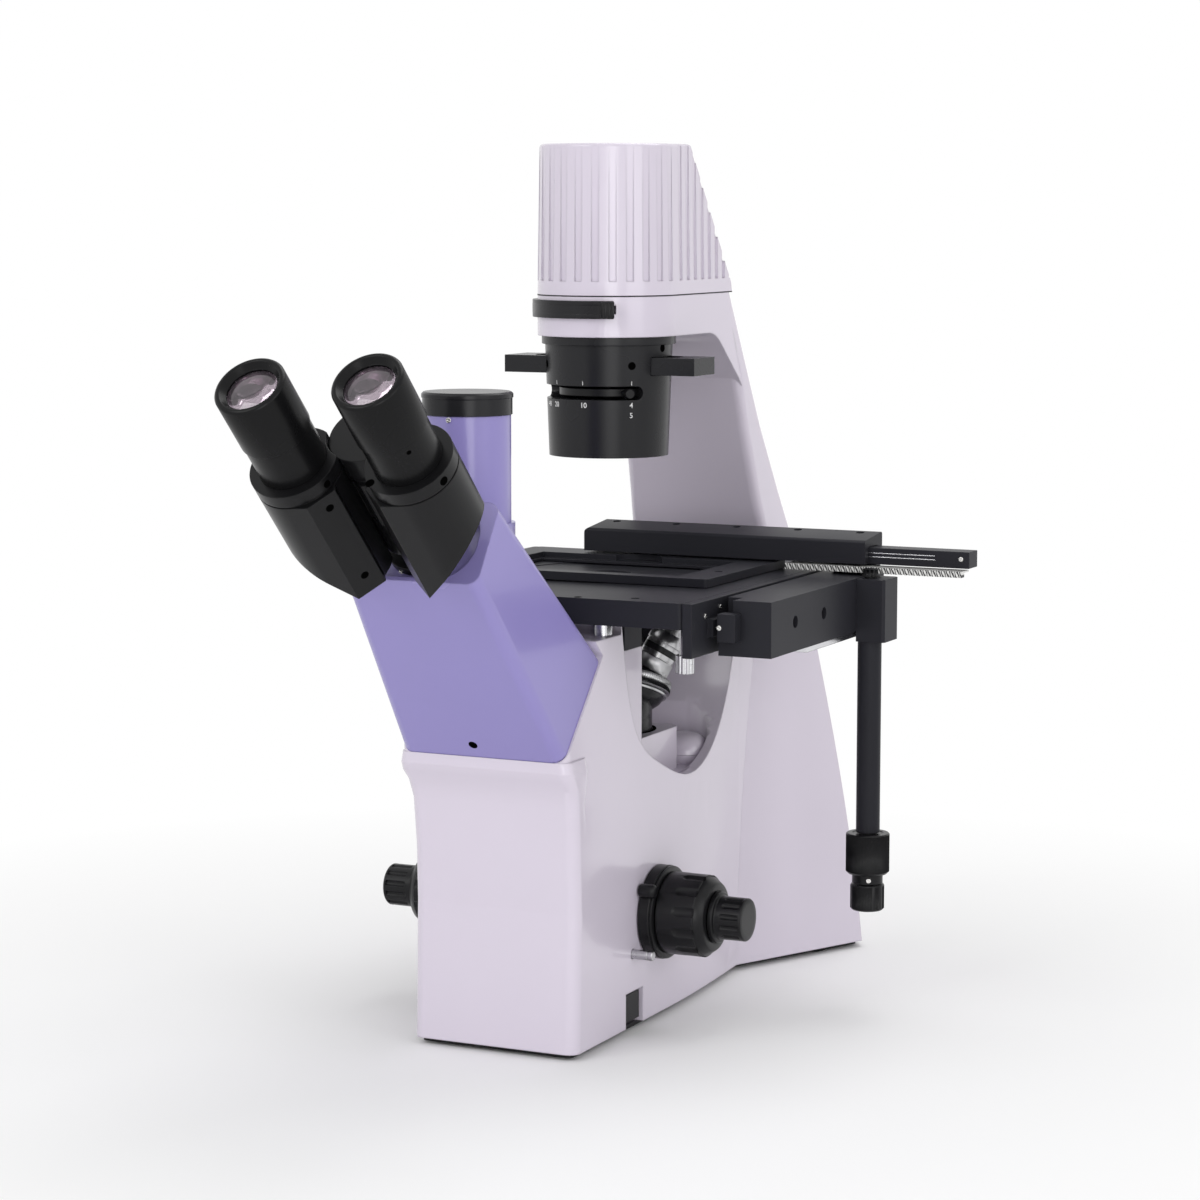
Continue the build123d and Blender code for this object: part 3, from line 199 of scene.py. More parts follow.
def skinned(node, body, mat, slot, angle=30, edge=0.0, segments=2, fold=40):
    """Merged copy of a CAD node with smooth curved faces and, where asked, a real broken edge."""
    bpy.ops.object.select_all(action="DESELECT")
    piece = bpy.data.objects.new(node + "_skin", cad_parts[node].data.copy())
    bpy.context.scene.collection.objects.link(piece)
    piece.select_set(True)
    bpy.context.view_layer.objects.active = piece
    bpy.ops.object.mode_set(mode="EDIT")
    bpy.ops.mesh.select_all(action="SELECT")
    bpy.ops.mesh.remove_doubles(threshold=0.000002)
    bpy.ops.mesh.dissolve_limited(angle_limit=math.radians(0.1))
    bpy.ops.mesh.select_all(action="DESELECT")
    bpy.ops.object.mode_set(mode="OBJECT")
    if edge:
        broken = piece.modifiers.new("broken_edge", "BEVEL")
        broken.width = edge
        broken.segments = segments
        broken.limit_method = "ANGLE"
        broken.angle_limit = math.radians(fold)
        bpy.ops.object.modifier_apply(modifier="broken_edge")
    bpy.ops.object.shade_smooth_by_angle(angle=math.radians(angle))
    even = piece.modifiers.new("face_weights", "WEIGHTED_NORMAL")
    even.keep_sharp = True
    even.weight = 80
    bpy.ops.object.modifier_apply(modifier="face_weights")
    return place_piece(piece, body, mat, slot, node)


pale_enamel = finish("pale_lilac_enamel", (0.66, 0.605, 0.70), 0.22, rubbed=(0.76, 0.72, 0.78), drift=0.02,
                     grain=1400, relief=0.03, edge=0.0014, rub=0.25, level=0.5, clear=0.4)
skinned("stand_base", "stand", pale_enamel, "pale_paint", angle=17)
LEDGE_MIDDLE, LEDGE_SIZE = (-0.042, 0.1360, 0.1468), (0.087, 0.0290, 0.0256)
LEDGE_CORNER, LEDGE_RIM = 0.013, 0.0008
bpy.ops.object.select_all(action="DESELECT")
bpy.ops.mesh.primitive_cube_add(size=1, location=LEDGE_MIDDLE)
ledge = bpy.context.active_object
ledge.name = "bay_ledge"
ledge.scale = LEDGE_SIZE
bpy.ops.object.transform_apply(location=True, rotation=True, scale=True)
bpy.ops.object.mode_set(mode="EDIT")
bpy.ops.mesh.select_all(action="DESELECT")
bpy.ops.object.mode_set(mode="OBJECT")
for edge in ledge.data.edges:
    low, high = (ledge.data.vertices[i].co for i in edge.vertices)
    edge.select = abs(low.z - high.z) > LEDGE_SIZE[2] / 2
bpy.ops.object.mode_set(mode="EDIT")
bpy.ops.mesh.bevel(offset=LEDGE_CORNER, segments=8)
bpy.ops.object.mode_set(mode="OBJECT")
soft_rim = ledge.modifiers.new("cast_rim", "BEVEL")
soft_rim.width = LEDGE_RIM
soft_rim.segments = 2
soft_rim.limit_method = "ANGLE"
soft_rim.angle_limit = math.radians(60)
bpy.ops.object.modifier_apply(modifier="cast_rim")
bpy.ops.object.shade_smooth_by_angle(angle=math.radians(35))
place_piece(ledge, "stand", pale_enamel, "pale_paint")

# Base plate and feet: black sheet steel screwed under the casting, and four
# turned rubber pads pushed up through its holes into the casting.
black_sheet = finish("black_sheet", (0.010, 0.010, 0.011), 0.5, drift=0.1, grain=1600, relief=0.08, level=0.2)
rubber = finish("foot_rubber", (0.012, 0.012, 0.012), 0.8, drift=0.15, grain=2200, relief=0.2, level=0.2)
dress("base_plate", black_sheet)
skinned("rubber_feet", "stand", rubber, "rubber", edge=0.0006)

# Mains inlet and brightness key: black mouldings with a light spark-eroded
# grain, snapped into their openings in the back wall and the right wall.
black_moulding = finish("black_moulding", (0.007, 0.007, 0.008), 0.32, rubbed=(0.04, 0.04, 0.045), drift=0.1,
                        grain=1800, relief=0.10, level=0.22)
skinned("mains_inlet", "stand", black_moulding, "black_plastic", edge=0.0004)
skinned("brightness_rocker", "rocker", black_moulding, "black_plastic", edge=0.0005)

# Pillar and arm: one leaning casting in the same enamel as the stand, screwed
# down behind the stage, with the round end that holds the condenser.
skinned("pillar_arm", "stand", pale_enamel, "pale_paint", angle=16)

# Lamp house: ribbed cover moulded in one piece and sprayed like the arm, with
# the black lamp tube, the milled heat sink and the collector lens inside it.
cover = skinned("lamp_house_cover", "stand", pale_enamel, "pale_paint", angle=28, edge=0.0005)


def copy_of(piece, name):
    """Copy of a piece with a mesh of its own."""
    twin = piece.copy()
    twin.data = piece.data.copy()
    twin.name = name
    bpy.context.scene.collection.objects.link(twin)
    return twin


def take_slice(piece, low, high, swell):
    """Keep what lies between two heights, and let it stand out a little all round."""
    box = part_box("lamp_house_cover")
    middle = [(a + b) / 2 for a, b in zip(*box)]
    bpy.ops.object.select_all(action="DESELECT")
    piece.select_set(True)
    bpy.context.view_layer.objects.active = piece
    bpy.ops.object.mode_set(mode="EDIT")
    bpy.ops.mesh.select_all(action="SELECT")
    bpy.ops.mesh.bisect(plane_co=(0, 0, high), plane_no=(0, 0, 1), use_fill=True, clear_outer=True)
    bpy.ops.mesh.select_all(action="SELECT")
    bpy.ops.mesh.bisect(plane_co=(0, 0, low), plane_no=(0, 0, 1), use_fill=True, clear_inner=True)
    bpy.ops.mesh.select_all(action="SELECT")
    bpy.ops.transform.resize(value=(swell, swell, 1), center_override=middle)
    bpy.ops.object.mode_set(mode="OBJECT")
    return piece


lamp_black = finish("lamp_black", (0.010, 0.010, 0.011), 0.6, drift=0.1, grain=1500, relief=0.08, level=0.2)
milled_aluminium = finish("milled_aluminium", (0.56, 0.56, 0.58), 0.34, drift=0.05, grain=700, relief=0.08,
                          metallic=1.0, stretch=(1, 6, 1))
dress("lamp_tube", lamp_black)
dress("led_module", milled_aluminium)
SEAM_LOW, SEAM_HIGH, SEAM_SWELL = 0.4311, 0.4317, 1.0016
seam = take_slice(copy_of(cover, "lamp_cover_seam"), SEAM_LOW, SEAM_HIGH, SEAM_SWELL)
place_piece(seam, "stand", lamp_black, "black_paint")


def coated_glass(name, colour, blush):
    """Clear optical glass whose coating tint drifts a little over the surface."""
    mat = bpy.data.materials.new(name)
    mat.use_nodes = True
    nodes, links = mat.node_tree.nodes, mat.node_tree.links
    shader = nodes["Principled BSDF"]
    coords = nodes.new("ShaderNodeTexCoord")
    cloud = nodes.new("ShaderNodeTexNoise")
    cloud.inputs["Scale"].default_value = 60
    ramp = nodes.new("ShaderNodeValToRGB")
    ramp.color_ramp.elements[0].color = (*colour, 1)
    ramp.color_ramp.elements[1].color = (*blush, 1)
    links.new(coords.outputs["Object"], cloud.inputs["Vector"])
    links.new(cloud.outputs[0], ramp.inputs[0])
    links.new(ramp.outputs[0], shader.inputs["Base Color"])
    shader.inputs["Roughness"].default_value = 0.03
    shader.inputs["Transmission Weight"].default_value = 0.92
    shader.inputs["IOR"].default_value = 1.6
    return mat


lens_glass = coated_glass("lens_glass", (0.80, 0.80, 0.88), (0.90, 0.82, 0.90))
dress("collector_lens", lens_glass)

# Field diaphragm: black anodised scale band round the arm, and the moulded
# thumb block that slides along its slot.
black_satin = finish("black_satin", (0.013, 0.013, 0.015), 0.27, rubbed=(0.08, 0.08, 0.09), drift=0.08,
                     grain=1500, relief=0.04, edge=0.0004, level=0.24)
skinned("diaphragm_band", "stand", black_satin, "black_paint", edge=0.0003)

# Condenser: black anodised flange and tapered body turned from bar, slotted
# for the phase slider and for the pin of the aperture diaphragm.
skinned("condenser_mount", "stand", black_satin, "black_paint", edge=0.0004)
skinned("condenser_body", "stand", black_satin, "black_paint", edge=0.0003)
dress("condenser_lens", lens_glass)
skinned("aperture_lever", "aperture_diaphragm", black_moulding, "black_plastic", edge=0.0004)
skinned("phase_slider", "phase_slide", black_satin, "black_paint", edge=0.0004)


AXIS_X, AXIS_Y = -42.0, 85.1


def drawing(x, y, z):
    """Point of the maker's drawing, in millimetres about the optical axis, as a place in the scene."""
    return Vector((x + AXIS_X, y + AXIS_Y, z)) / 1000


def seat(origin, up, across=(1, 0, 0)):
    """Frame of a seat: its face looks along up, and its first axis lies near across."""
    z = Vector(up).normalized()
    y = z.cross(Vector(across)).normalized()
    x = y.cross(z)
    return Matrix.Translation(drawing(*origin)) @ Matrix((x, y, z)).transposed().to_4x4()


def set_down(piece, where):
    """Move a piece made at the origin to its seat and fix the place in its mesh."""
    bpy.ops.object.select_all(action="DESELECT")
    piece.select_set(True)
    bpy.context.view_layer.objects.active = piece
    piece.matrix_world = where
    bpy.ops.object.transform_apply(location=True, rotation=True, scale=True)
    return piece


def lathe(name, rings, count=64, smooth=35):
    """Turned blank: a disc drawn out ring by ring; rings are (radius, height) in millimetres."""
    bpy.ops.object.select_all(action="DESELECT")
    radius, height = rings[0]
    bpy.ops.mesh.primitive_circle_add(vertices=count, radius=radius / 1000, fill_type="NGON",
                                      location=(0, 0, height / 1000))
    blank = bpy.context.active_object
    blank.name = name
    bpy.ops.object.transform_apply(location=True, rotation=True, scale=True)
    bpy.ops.object.mode_set(mode="EDIT")
    bpy.ops.mesh.select_all(action="SELECT")
    for new_radius, new_height in rings[1:]:
        rise, spread = (new_height - height) / 1000, new_radius / radius
        bpy.ops.mesh.extrude_region_move(TRANSFORM_OT_translate={"value": (0, 0, rise)})
        bpy.ops.transform.resize(value=(spread, spread, 1), center_override=(0, 0, 0))
        radius, height = new_radius, new_height
    bpy.ops.mesh.select_all(action="SELECT")
    bpy.ops.mesh.normals_make_consistent(inside=False)
    bpy.ops.mesh.select_all(action="DESELECT")
    bpy.ops.object.mode_set(mode="OBJECT")
    bpy.ops.object.shade_smooth_by_angle(angle=math.radians(smooth))
    return blank


def cut_away(piece, cutter):
    """Mill the cutter's shape out of a piece."""
    bpy.context.view_layer.update()
    cut = piece.modifiers.new("milled", "BOOLEAN")
    cut.operation = "DIFFERENCE"
    cut.solver = "EXACT"
    cut.object = cutter
    bpy.ops.object.select_all(action="DESELECT")
    piece.select_set(True)
    bpy.context.view_layer.objects.active = piece
    bpy.ops.object.modifier_apply(modifier="milled")
    bpy.data.objects.remove(cutter, do_unlink=True)
    bpy.ops.object.shade_smooth_by_angle(angle=math.radians(35))
    return piece


FILLER_THICKNESS = 0.00012


def engraved(text, height, place, outward, mat, body, name):
    """Filled engraving: thin figures set down on a surface."""
    bpy.ops.object.select_all(action="DESELECT")
    bpy.ops.object.text_add(location=(0, 0, 0))
    mark = bpy.context.active_object
    mark.name = name
    mark.data.body = text
    mark.data.size = height / 1000
    mark.data.extrude = FILLER_THICKNESS
    mark.data.offset = 0.00004
    mark.data.align_x = "CENTER"
    mark.data.align_y = "CENTER"
    bpy.ops.object.convert(target="MESH")
    mark = bpy.context.active_object
    across = Vector((0, 0, 1)).cross(Vector(outward))
    set_down(mark, seat(place, outward, across))
    return place_piece(mark, body, mat, "white_plastic")


def scale_line(name, place, outward, width, length, mat, body):
    """One filled scale line: a small bar with its ends drawn in."""
    bpy.ops.object.select_all(action="DESELECT")
    bpy.ops.mesh.primitive_plane_add(size=1)
    line = bpy.context.active_object
    line.name = name
    line.scale = (width / 1000, length / 1000, 1)
    bpy.ops.object.transform_apply(location=False, rotation=False, scale=True)
    bpy.ops.object.mode_set(mode="EDIT")
    bpy.ops.mesh.select_all(action="SELECT")
    bpy.ops.mesh.extrude_region_move(TRANSFORM_OT_translate={"value": (0, 0, FILLER_THICKNESS)})
    bpy.ops.transform.resize(value=(0.8, 0.9, 1), center_override=(0, 0, 0))
    bpy.ops.mesh.select_all(action="SELECT")
    bpy.ops.mesh.normals_make_consistent(inside=False)
    bpy.ops.object.mode_set(mode="OBJECT")
    across = Vector((0, 0, 1)).cross(Vector(outward))
    set_down(line, seat(place, outward, across))
    return place_piece(line, body, mat, "white_plastic")


STRIP_FROM, STRIP_TO = -63, 28.5
strip = lathe("diaphragm_dust_strip", [(44.6, 420.4), (45.8, 420.4), (45.8, 426.4), (44.6, 426.4)], 180)
bpy.ops.object.mode_set(mode="EDIT")
bpy.ops.mesh.select_all(action="DESELECT")
bpy.ops.object.mode_set(mode="OBJECT")
for face in strip.data.polygons:
    turn = math.degrees(math.atan2(face.center.x, -face.center.y))
    face.select = len(face.vertices) > 4 or not STRIP_FROM < turn < STRIP_TO
bpy.ops.object.mode_set(mode="EDIT")
bpy.ops.mesh.select_mode(type="FACE")
bpy.ops.mesh.delete(type="FACE")
bpy.ops.mesh.select_mode(type="VERT")
bpy.ops.object.mode_set(mode="OBJECT")
set_down(strip, Matrix.Translation(drawing(0, 0, 0)))
place_piece(strip, "stand", black_satin, "black_paint")
THUMB_SIZE, THUMB_EDGE = (0.008, 0.0047, 0.0100), 0.0007
THUMB_Z, THUMB_TURN, THUMB_REACH = 423.4, 24.5, 0.04865
GROOVE_PITCH, GROOVE_SIZE = 0.0022, (0.0008, 0.001, 0.02)
bpy.ops.object.select_all(action="DESELECT")
bpy.ops.mesh.primitive_cube_add(size=1)
thumb = bpy.context.active_object
thumb.name = "diaphragm_thumb_block"
thumb.scale = THUMB_SIZE
bpy.ops.object.transform_apply(location=False, rotation=False, scale=True)
bpy.ops.object.mode_set(mode="EDIT")
bpy.ops.mesh.select_all(action="SELECT")
bpy.ops.mesh.bevel(offset=THUMB_EDGE, segments=2)
bpy.ops.object.mode_set(mode="OBJECT")
for i in (-1, 0, 1):
    bpy.ops.object.select_all(action="DESELECT")
    bpy.ops.mesh.primitive_cube_add(size=1, location=(i * GROOVE_PITCH, -0.0024, 0))
    groove = bpy.context.active_object
    groove.scale = GROOVE_SIZE
    cut_away(thumb, groove)
set_down(thumb, Matrix.Translation(drawing(0, 0, THUMB_Z)) @ Matrix.Rotation(math.radians(THUMB_TURN), 4, "Z")
         @ Matrix.Translation((0, -THUMB_REACH, 0)))
place_piece(thumb, "field_diaphragm", black_moulding, "black_plastic", "diaphragm_lever")

white_filler = finish("white_filler", (0.86, 0.86, 0.85), 0.5, drift=0.05, grain=2500, relief=0.05, level=0.3)


FOOT_RADIUS, FOOT_Z, WALL_GROWTH, WALL_LEAN = 36.0, 335.0, 2.5 / 67.0, -0.037


def on_condenser(angle, z):
    """Point and outward direction on the tapered wall, angle from the front to the right."""
    turn = math.radians(angle)
    radius = FOOT_RADIUS + (z - FOOT_Z) * WALL_GROWTH
    out = (math.sin(turn), -math.cos(turn), WALL_LEAN)
    return (radius * out[0], radius * out[1], z), out


LINE_Z, LINE_WIDTH, LINE_LENGTH, FIGURE_HEIGHT = 379.6, 0.5, 2.6, 4.4
for angle in (-30, 1, 46.5):
    place, out = on_condenser(angle, LINE_Z)
    scale_line(f"aperture_line_{int(angle) + 30}", place, out, LINE_WIDTH, LINE_LENGTH, white_filler, "stand")
for figure, angle, z in (("40", -45, 366.4), ("20", -31, 366.4), ("10", 1.5, 366.4), ("4", 46.5, 366.4),
                         ("5", 46.5, 360.4)):
    place, out = on_condenser(angle, z)
    engraved(figure, FIGURE_HEIGHT, place, out, white_filler, "stand", f"aperture_figure_{figure}")


def screw_mouth(name, radius):
    """Mouth of a deep screw hole: a disc in painted shade, for the dark inside of the hole, set just clear of
    the surface, with a chamfered edge.
    """
    rings = [(1.05, -0.4), (1.05, 0.04), (0.96, 0.09), (0.5, 0.07), (0.45, 0.05)]
    return lathe(name, [(radius * share, height) for share, height in rings], 24)


# Near-black without shine: painted shade for the insides of holes and gaps, and for the dark depth of the
# eyepiece tubes.
shade_black = finish("painted_shade_black", (0.0015, 0.0015, 0.0015), 0.9, drift=0.05, grain=1500, relief=0.05,
                    level=0.0)
WELL_RADIUS = 2.3
# Condenser screw holes: discs in painted shade.
first_well = screw_mouth("condenser_screw_a", WELL_RADIUS)
second_well = copy_of(first_well, "condenser_screw_b")
third_well = copy_of(first_well, "condenser_screw_c")
for well, angle, z in ((first_well, 46.5, 390.0), (second_well, -52, 390.0), (third_well, 82, 400.0)):
    place, out = on_condenser(angle, z)
    set_down(well, seat(place, out, Vector((0, 0, 1)).cross(Vector(out))))
    place_piece(well, "stand", shade_black, "black_paint")

# Head and camera port: leaning head casting and upright port in lavender gloss
# enamel, the port closed by a black turned cap with a thin lip.
purple_enamel = finish("lavender_enamel", (0.272, 0.236, 0.530), 0.26, rubbed=(0.40, 0.36, 0.62), drift=0.03,
                       grain=1400, relief=0.03, edge=0.0014, rub=0.25, level=0.5, clear=0.25)
skinned("head_housing", "stand", purple_enamel, "purple_paint", angle=28)
skinned("photo_tube", "stand", purple_enamel, "purple_paint")
skinned("photo_tube_cap", "port_cap", black_satin, "black_plastic", edge=0.0003)

# Binocular: die-cast prism boxes, pivot and flange in black satin enamel, with
# turned tubes and eyepieces in satin black anodising. The mouths of the screw
# holes of the binocular, the head and the stage are set down here as well.
head_black = finish("black_enamel", (0.007, 0.007, 0.0078), 0.30, rubbed=(0.05, 0.05, 0.05), drift=0.08,
                    grain=1500, relief=0.06, edge=0.0007, level=0.20)
for node, body in (("binocular_flange", "binocular_head"), ("hinge_pivot", "binocular_head"),
                   ("prism_box_left", "ocular_left"), ("prism_box_right", "ocular_right")):
    skinned(node, body, head_black, "black_paint", edge=0.0011 if "box" in node else 0.0005, segments=3)
HEAD_ORIGIN, EYEPIECE_ACROSS, EYEPIECE_LIFT = (0, -231.5, 300.5), 0.0335, -0.022
SHADE_DISC_SHIFT = (-0.0018, -0.0020, 0)
tilt, twist = math.radians(45), math.radians(4.5)
head_up = Vector((0, -math.sin(tilt), math.cos(tilt)))
head_across = Vector((math.cos(twist), math.sin(twist) * math.cos(tilt), math.sin(twist) * math.sin(tilt)))
head_seat = seat(HEAD_ORIGIN, head_up, head_across)
lens_coating = finish("lens_coating", (0.13, 0.095, 0.118), 0.10, rubbed=(0.3, 0.2, 0.3), drift=0.08,
                      grain=900, relief=0.0, edge=0.0002, metallic=1.0)
eyepiece_glass = coated_glass("eyepiece_glass", (0.40, 0.34, 0.41), (0.56, 0.46, 0.52))
tube_black = finish("tube_black", (0.006, 0.006, 0.0065), 0.27, rubbed=(0.05, 0.05, 0.06), drift=0.08,
                    grain=1500, relief=0.04, edge=0.0004, level=0.15)
for word, side in (("left", -1), ("right", 1)):
    skinned("eyepiece_tube_" + word, "ocular_" + word, tube_black, "black_paint", edge=0.0003)
    on_tube = head_seat @ Matrix.Translation((side * EYEPIECE_ACROSS, EYEPIECE_LIFT, 0))
    eyepiece = lathe("eyepiece_" + word + "_turned",
                     [(18.0, 122.2), (19.3, 122.2), (19.6, 122.5), (19.6, 156.0), (19.3, 156.5),
                      (18.7, 157.1), (18.0, 157.5), (16.9, 157.5), (16.4, 157.2), (14.4, 153.9),
                      (14.0, 153.7), (14.0, 143.0)], 128)
    set_down(eyepiece, on_tube)
    place_piece(eyepiece, "dioptre_" + word, tube_black, "black_paint", "eyepiece_" + word)
    inner = lathe("inner_lens_" + word,
                  [(13.6, 147.0), (13.8, 150.2), (13.4, 150.5), (12.6, 150.1), (10.5, 149.4), (8.0, 148.8),
                   (5.0, 148.4), (2.0, 148.2), (0.5, 148.2)], 96, smooth=50)
    set_down(inner, on_tube)
    place_piece(inner, "dioptre_" + word, lens_coating, "glass")
    # Black disc in painted shade: stands for the dark depth of the tube seen through the lenses, set off the
    # axis where that dark shows.
    shade_disc = lathe("eyepiece_shade_disc_" + word,
                 [(7.4, 148.0), (7.6, 150.0), (6.2, 149.8), (3.0, 149.5), (1.0, 149.4)], 9, smooth=20)
    set_down(shade_disc, on_tube @ Matrix.Translation(SHADE_DISC_SHIFT))
    place_piece(shade_disc, "dioptre_" + word, shade_black, "black_paint")
    front = lathe("front_lens_" + word,
                  [(13.5, 150.8), (13.9, 151.2), (13.9, 152.7), (13.3, 153.2), (11.6, 153.9), (9.2, 154.6),
                   (6.5, 155.1), (3.5, 155.4), (0.8, 155.5)], 96, smooth=50)
    set_down(front, on_tube)
    place_piece(front, "dioptre_" + word, eyepiece_glass, "glass", "eye_lens_" + word)
# Mouths of the screw holes on the binocular, the head and the stage: discs in painted shade for the dark
# inside of each hole.
for name, place, outward, radius, body in (
        ("box_screw_a", (19.1, -325.7, 343.5), (0, -0.71, 0.71), 2.4, "ocular_right"),
        ("box_screw_b", (57.7, -317.1, 345.3), (0.92, -0.27, -0.27), 2.4, "ocular_right"),
        ("box_screw_c", (-10.5, -316.0, 328.5), (0.77, -0.45, -0.45), 2.2, "ocular_left"),
        ("box_screw_d", (-11.4, -278.4, 289.4), (0.77, -0.45, -0.45), 2.2, "ocular_left"),
        ("box_screw_e", (-9.2, -321.0, 341.5), (0.91, -0.29, -0.29), 2.0, "ocular_left"),
        ("tube_screw", (48.7, -337.6, 361.0), (0.72, -0.49, -0.49), 1.3, "ocular_right"),
        ("head_screw", (-2.4, -173.1, 182.4), (0, -0.79, -0.61), 2.6, "stand"),
        ("stage_screw", (38.2, -121.0, 263.0), (0, 0, 1), 2.2, "stand")):
    across = (1, 0, 0) if outward[2] == 1 else Vector((0.3, 0, 1)).cross(Vector(outward))
    well = screw_mouth(name, radius)
    set_down(well, seat(place, outward, across))
    place_piece(well, body, shade_black, "black_paint")

# Stage: plate, guide, carriage, rail, holder and the turned insert in aluminium,
# black anodised, with a white moulded toothed strip and bright turned parts.
stage_black = finish("stage_black", (0.022, 0.022, 0.027), 0.40, rubbed=(0.10, 0.10, 0.11), drift=0.08,
                     grain=1200, relief=0.05, edge=0.0004, level=0.09)
bright_steel = finish("bright_steel", (0.66, 0.66, 0.68), 0.18, drift=0.04, grain=900, relief=0.03,
                      metallic=1.0, stretch=(1, 1, 8))
for node, body in (("stage_plate", "stand"), ("stage_guide", "stand"), ("support_block", "stand"),
                   ("y_carriage", "carriage"), ("guide_clamp", "carriage"), ("rail_housing", "carriage"),
                   ("gearbox", "carriage"), ("stage_post", "carriage"), ("x_bar", "cross_slide"),
                   ("specimen_holder", "cross_slide")):
    skinned(node, body, stage_black, "black_paint", edge=0.0004)
skinned("stage_insert", "stand", stage_black, "black_paint", edge=0.0003)
dress("y_rack", bright_steel)
TOOTH_LEAN, TOOTH_SCALE, STRIP_SHARE = 22, 205, 0.64
white_moulding = finish("white_moulding", (0.74, 0.74, 0.72), 0.4, drift=0.03, grain=1500, relief=0.05,
                        level=0.4)
# The rack's teeth are drawn in its colour: dark slanted stripes of painted shade stand for the shaded gaps
# between the white teeth.
tooth_nodes, tooth_link = white_moulding.node_tree.nodes, white_moulding.node_tree.links.new
along_rack = tooth_nodes.new("ShaderNodeTexCoord")
slanted = tooth_nodes.new("ShaderNodeMapping")
slanted.inputs["Rotation"].default_value = (0, math.radians(TOOTH_LEAN), 0)
gaps = tooth_nodes.new("ShaderNodeTexWave")
gaps.inputs["Scale"].default_value = TOOTH_SCALE
gap_mask = tooth_nodes.new("ShaderNodeMapRange")
gap_mask.inputs["From Min"].default_value = 0.30
gap_mask.inputs["From Max"].default_value = 0.55
painted_gap_shade = tooth_nodes.new("ShaderNodeMix")
painted_gap_shade.data_type = "RGBA"
painted_gap_shade.inputs["A"].default_value = (0.02, 0.02, 0.022, 1)
tooth_link(along_rack.outputs["Object"], slanted.inputs["Vector"])
tooth_link(slanted.outputs[0], gaps.inputs["Vector"])
tooth_link(gaps.outputs[1], gap_mask.inputs["Value"])
tooth_link(gap_mask.outputs[0], painted_gap_shade.inputs["Factor"])
tooth_link(tooth_nodes["Group"].outputs["Colour"], painted_gap_shade.inputs["B"])
tooth_link(painted_gap_shade.outputs["Result"], tooth_nodes["Principled BSDF"].inputs["Base Color"])
skinned("x_rack", "cross_slide", white_moulding, "white_plastic")
rack_middle = [(a + b) / 2 for a, b in zip(*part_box("x_rack"))]
bpy.ops.object.mode_set(mode="EDIT")
bpy.ops.mesh.select_all(action="SELECT")
bpy.ops.transform.resize(value=(1, 1, STRIP_SHARE), center_override=rack_middle)
bpy.ops.object.mode_set(mode="OBJECT")
for node in ("stage_standoffs", "thumb_screw"):
    skinned(node, "stand", bright_steel, "chrome", edge=0.0003)


def knurl(piece, low, high, count, depth, gap, face_angle=0.2):
    """Straight knurl: every other side face between two heights is sunk."""
    for face in piece.data.polygons:
        centre = face.center
        turn = math.atan2(centre.y, centre.x) % math.tau
        in_band = low / 1000 < centre.z < high / 1000
        upright = abs(face.normal.z) < face_angle and len(face.vertices) == 4
        outer = face.normal.x * centre.x + face.normal.y * centre.y > 0
        face.select = in_band and upright and outer and int(turn / math.tau * 2 * count) % 2 == 0
    bpy.context.view_layer.objects.active = piece
    bpy.ops.object.mode_set(mode="EDIT")
    bpy.ops.mesh.select_mode(type="FACE")
    bpy.ops.mesh.inset(thickness=gap / 1000, depth=-depth / 1000, use_individual=True)
    bpy.ops.mesh.select_all(action="DESELECT")
    bpy.ops.mesh.select_mode(type="VERT")
    bpy.ops.object.mode_set(mode="OBJECT")
    return piece


# Stage knobs: two coaxial black mouldings under the hanging post with their
# thin shafts, the upper one for the depth of the stage and the lower one for
# its width, both straight knurled and the upper one pinned with a small screw.
STAGE_KNOB_X, STAGE_KNOB_Y = 153.5, 42.5
upper_knob = lathe("upper_stage_knob_knurled",
                   [(8.9, 76.7), (9.3, 77.1), (9.3, 82.7), (11.7, 82.7), (13.2, 84.2), (13.2, 106.9),
                    (12.6, 107.6), (9.6, 107.6), (9.2, 107.2), (5.5, 107.2), (5.5, 227.8), (6.2, 227.8),
                    (6.2, 230.4), (5.5, 230.4)], 84)
knurl(upper_knob, 83.9, 107, 42, 0.6, 0.3)
set_down(upper_knob, Matrix.Translation(drawing(STAGE_KNOB_X, STAGE_KNOB_Y, 0)))
place_piece(upper_knob, "upper_stage_knob", black_moulding, "black_plastic", "y_knob")
lower_knob = lathe("lower_stage_knob_knurled",
                   [(9.2, 60.4), (10.3, 61.5), (10.3, 75.4), (9.8, 76.2), (3.35, 76.2), (3.35, 263.6),
                    (4.6, 263.6), (4.6, 268.2), (3.9, 268.2)], 66)
knurl(lower_knob, 61.4, 75.5, 33, 0.5, 0.25)
knurl(lower_knob, 263.7, 268.1, 11, 0.5, 0.3)
set_down(lower_knob, Matrix.Translation(drawing(STAGE_KNOB_X, STAGE_KNOB_Y, 0)))
place_piece(lower_knob, "lower_stage_knob", black_moulding, "black_plastic", "x_knob")


def slotted_screw(name, radius, height, count=24):
    """Turned screw head with a chamfered rim and a milled slot."""
    head = lathe(name, [(radius * 0.96, -0.3), (radius, 0), (radius, height * 0.7), (radius * 0.82, height),
                        (radius * 0.3, height)], count)
    bpy.ops.object.select_all(action="DESELECT")
    bpy.ops.mesh.primitive_cube_add(size=1, location=(0, 0, height / 1000))
    slot = bpy.context.active_object
    slot.scale = (radius * 3 / 1000, radius * 0.3 / 1000, height * 0.9 / 1000)
    cut_away(head, slot)
    return head


